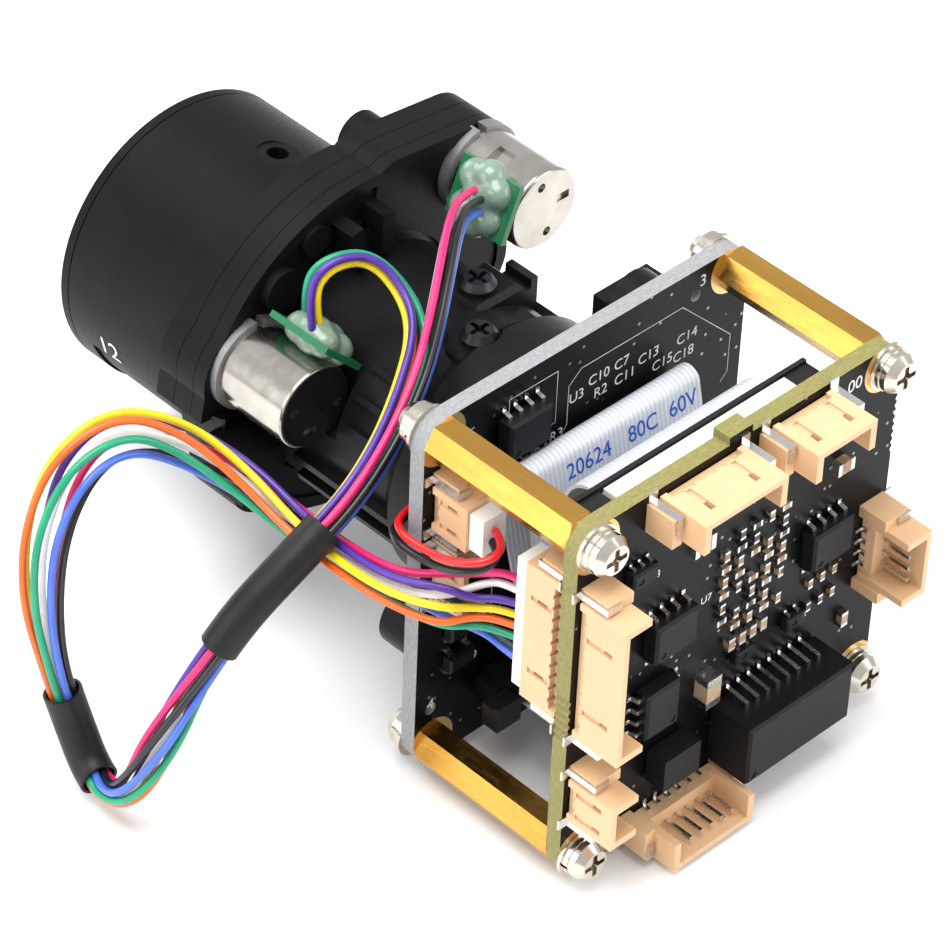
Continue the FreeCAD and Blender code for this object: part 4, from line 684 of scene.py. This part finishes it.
# Text, X, Z and letter size in mm on the same face.
BOARD_LABELS = [
    ("C9", 7.0, 9.9, 1.5), ("R4", 5.4, 9.2, 1.5), ("R3", 3.6, 9.9, 1.5), ("U3", 1.4, 12.9, 1.5),
    ("C10", -1.2, 13.6, 1.5), ("R2", -1.5, 11.9, 1.5), ("C7", -3.9, 13.6, 1.5), ("C11", -4.4, 11.9, 1.5),
    ("C13", -7.2, 12.6, 1.5), ("C15", -9.0, 10.9, 1.5), ("C18", -11.6, 10.4, 1.5), ("C14", -11.9, 12.2, 1.5),
    ("3", -13.4, 17.4, 1.7), ("4", 17.2, -12.4, 1.7), ("39", 12.6, -9.8, 1.5), ("R1", 15.6, 9.0, 1.5),
]
# The same on the rear face of the rear board.
REAR_LABELS = [
    ("00", -13.2, 17.0, 1.8), ("U7", 3.2, 3.1, 1.1), ("C2", -9.4, -6.4, 1.1), ("R8", 9.8, 9.6, 1.1),
]
# Text, X and Z in mm on the ribbon's run behind the front board.
RIBBON_LABELS = [("60V", -8.0, 9.1), ("80C", -3.2, 9.1), ("20624", 3.2, 9.1)]
RIBBON_LETTER = 2.1 * MM
BARREL_LETTER = 3.0 * MM
# Clear space between the boards, from where the ribbon's printed run is looked for.
RIBBON_VIEW_Y = MAIN_FRONT - 9.0 * MM


def ink(name, colour):
    """Printed ink with worn patches."""
    return Finish(name, colour, shade=0.6, roughness=0.5, spread=0.1, grain=5000.0, depth=0.004, drift=900.0,
                  marks=0.5, specular=0.3)


def finished(piece, finish):
    """Colour a finished piece and let it ride on the fixed body."""
    piece.data.materials.clear()
    piece.data.materials.append(finish.material)
    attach(piece, ROOT)


def flat_text(body, size):
    """Mesh of a short text in its own plane, middle at the origin."""
    bpy.ops.object.select_all(action="DESELECT")
    bpy.ops.object.text_add()
    words = bpy.context.object
    words.data.body = body
    words.data.size = size
    words.data.align_x = "CENTER"
    words.data.align_y = "CENTER"
    words.data.extrude = INK_DEPTH
    bpy.ops.object.convert(target="MESH")
    return bpy.context.object


def laid_text(body, size, place):
    """Text whose every point goes through a placing function."""
    words = flat_text(body, size)
    for point in words.data.vertices:
        point.co = place(point.co.x, point.co.y, point.co.z)
    return words


def joined(pieces, name):
    """One piece from several."""
    bpy.ops.object.select_all(action="DESELECT")
    for piece in pieces:
        piece.select_set(True)
    bpy.context.view_layer.objects.active = pieces[0]
    bpy.ops.object.join()
    pieces[0].name = name
    return pieces[0]


def on_face(x, z, y):
    """Placing function for a face that looks along +Y."""
    return lambda across, up, off: Vector((x * MM - across, y + off, z * MM + up))


def on_barrel(angle, y):
    """Placing function round the barrel, at an angle in degrees and so far back in mm from its front."""
    def place(across, up, off):
        turn = math.radians(angle) + up / BARREL_RADIUS
        reach = BARREL_RADIUS + off + BARREL_INK_GAP
        return Vector((reach * math.cos(turn), BARREL_FRONT + y * MM + across, reach * math.sin(turn)))
    return place


def on_ribbon(x, z):
    """Placing function on the ribbon's printed run, found by looking along -Y from between the boards."""
    ribbon = NODES["ribbon_cable"]

    def place(across, up, off):
        start = Vector((x * MM - across, RIBBON_VIEW_Y, z * MM + up))
        hit, found, normal, face = ribbon.ray_cast(start, Vector((0, -1, 0)))
        return found + normal * (off + RIBBON_INK_GAP)
    return place


def printed_line(ends, y):
    """Thin raised line through some points of a face."""
    curve = bpy.data.curves.new("printed_line", "CURVE")
    curve.dimensions = "3D"
    curve.bevel_depth = 0.07 * MM
    curve.bevel_resolution = 1
    spline = curve.splines.new("POLY")
    spline.points.add(len(ends) - 1)
    for knot, (x, z) in zip(spline.points, ends):
        knot.co = (x * MM, y - 0.05 * MM, z * MM, 1.0)
    line = bpy.data.objects.new("printed_line", curve)
    bpy.context.scene.collection.objects.link(line)
    bpy.ops.object.select_all(action="DESELECT")
    line.select_set(True)
    bpy.context.view_layer.objects.active = line
    bpy.ops.object.convert(target="MESH")
    return bpy.context.object


class CAMERA_OT_add_beads(bpy.types.Operator):
    """Glue over the wire ends of each motor's board"""
    bl_idname = "camera_module.add_beads"
    bl_label = "Add glue beads"

    def execute(self, context):
        finish = bead_finish()
        for motor, lumps in BEADS.items():
            face, normal = board_face(motor)
            along = Vector((-normal.z, 0, normal.x))
            balls = []
            for y, reach, off, radius in lumps:
                middle = face + Vector((0, y * MM, 0)) + along * (reach * MM) + normal * (off * MM)
                bpy.ops.object.select_all(action="DESELECT")
                bpy.ops.mesh.primitive_uv_sphere_add(
                    segments=24, ring_count=16, radius=radius * MM, location=middle)
                balls.append(context.object)
            bead = joined(balls, "glue_bead_" + motor)
            bpy.ops.object.transform_apply(location=True, rotation=True, scale=True)
            melt = bead.modifiers.new("melt", "REMESH")
            melt.mode = "VOXEL"
            melt.voxel_size = 0.16 * MM
            settle = bead.modifiers.new("settle", "SMOOTH")
            settle.factor = 0.6
            settle.iterations = 26
            bpy.ops.object.modifier_apply(modifier="melt")
            bpy.ops.object.modifier_apply(modifier="settle")
            bpy.ops.object.shade_smooth()
            finished(bead, finish)
        return {"FINISHED"}


class CAMERA_OT_add_prints(bpy.types.Operator):
    """White and blue print on the boards, the barrel and the ribbon"""
    bl_idname = "camera_module.add_prints"
    bl_label = "Add prints"

    def execute(self, context):
        white = ink("white_ink", (0.78, 0.78, 0.76))
        pieces = [printed_line(ends, SENSOR_BACK) for ends in BOARD_LINES]
        pieces += [laid_text(body, size * MM, on_face(x, z, SENSOR_BACK))
                   for body, x, z, size in BOARD_LABELS]
        finished(joined(pieces, "front_board_print"), white)
        pieces = [laid_text(body, size * MM, on_face(x, z, MAIN_BACK)) for body, x, z, size in REAR_LABELS]
        finished(joined(pieces, "rear_board_print"), white)
        number = laid_text("12", BARREL_LETTER, on_barrel(-14.5, 6.0))
        number.name = "barrel_number"
        finished(number, white)
        blue = ink("blue_ink", (0.02, 0.10, 0.55))
        pieces = [laid_text(body, RIBBON_LETTER, on_ribbon(x, z)) for body, x, z in RIBBON_LABELS]
        finished(joined(pieces, "ribbon_print"), blue)
        return {"FINISHED"}


# --- stage ------------------------------------------------------------------------
class CAMERA_OT_build_stage(bpy.types.Operator):
    """Pale floor, soft lights and the camera"""
    bl_idname = "camera_module.build_stage"
    bl_label = "Build stage"

    def execute(self, context):
        settings = context.scene.module_stage
        scene = context.scene
        floor_z = CAD_BOX[0][2] - 0.0001
        bpy.ops.object.select_all(action="DESELECT")
        bpy.ops.mesh.primitive_plane_add(size=3.0, location=(0, 0, floor_z))
        floor = context.object
        floor.name = "floor"
        material = bpy.data.materials.new("pale_floor")
        material.use_nodes = True
        shader = material.node_tree.nodes["Principled BSDF"]
        shader.inputs["Base Color"].default_value = rgba(settings.floor_tone)
        shader.inputs["Roughness"].default_value = 0.7
        floor.data.materials.append(material)
        world = bpy.data.worlds.new("soft_room")
        scene.world = world
        world.use_nodes = True
        sky = world.node_tree.nodes["Background"]
        sky.inputs["Color"].default_value = (0.95, 0.97, 1.0, 1)
        sky.inputs["Strength"].default_value = 0.75
        target = Vector((0.005, 0.025, 0.0))
        for name, place, size, power in (
                ("key_light", (0.10, 0.02, 0.45), 0.35, settings.key_power),
                ("side_light", (-0.25, 0.40, 0.22), 0.30, settings.fill_power),
                ("left_light", (0.42, -0.08, 0.18), 0.30, settings.fill_power * 0.8),
                ("front_light", (0.0, -0.45, 0.25), 0.30, settings.fill_power * 0.8)):
            light = bpy.data.lights.new(name, "AREA")
            light.energy = power
            light.size = size
            lamp = bpy.data.objects.new(name, light)
            scene.collection.objects.link(lamp)
            lamp.location = place
            lamp.rotation_euler = (target - Vector(place)).to_track_quat("-Z", "Y").to_euler()
        lens = bpy.data.cameras.new("view_camera")
        lens.lens = 180.27
        lens.sensor_width = 36.0
        lens.clip_start = 0.02
        camera = bpy.data.objects.new("view_camera", lens)
        scene.collection.objects.link(camera)
        right = Vector((-0.71850, 0.69465, 0.03487))
        up = Vector((-0.43374, -0.48670, 0.75828))
        back = Vector((0.54371, 0.52970, 0.65100))
        turn = Matrix((right, up, back)).transposed().to_4x4()
        camera.matrix_world = Matrix.Translation((0.2254966, 0.2495619, 0.2652796)) @ turn
        scene.camera = camera
        scene.view_settings.view_transform = "Standard"
        return {"FINISHED"}


# --- panel and registration ---------------------------------------------------------
class CAMERA_PT_module(bpy.types.Panel):
    """Builds the module's looks step by step"""
    bl_label = "Camera module"
    bl_idname = "CAMERA_PT_module"
    bl_space_type = "VIEW_3D"
    bl_region_type = "UI"
    bl_category = "Camera module"

    def draw(self, context):
        for operator in OPERATORS:
            self.layout.operator(operator.bl_idname)


SETTINGS = {
    "module_harness": HarnessSettings,
    "module_finishes": FinishSettings,
    "module_stage": StageSettings,
}
OPERATORS = (CAMERA_OT_paint_frame, CAMERA_OT_add_wires, CAMERA_OT_add_beads, CAMERA_OT_add_prints,
             CAMERA_OT_build_stage)


def register():
    """Register the settings, operators and panel."""
    for name, group in SETTINGS.items():
        bpy.utils.register_class(group)
        setattr(bpy.types.Scene, name, bpy.props.PointerProperty(type=group))
    for operator in OPERATORS:
        bpy.utils.register_class(operator)
    bpy.utils.register_class(CAMERA_PT_module)


def unregister():
    """Take everything out again."""
    bpy.utils.unregister_class(CAMERA_PT_module)
    for operator in reversed(OPERATORS):
        bpy.utils.unregister_class(operator)
    for name, group in SETTINGS.items():
        delattr(bpy.types.Scene, name)
        bpy.utils.unregister_class(group)


def main():
    """Build all the looks."""
    register()
    for operator in OPERATORS:
        category, step = operator.bl_idname.split(".")
        getattr(getattr(bpy.ops, category), step)()


if __name__ == "__main__":
    main()
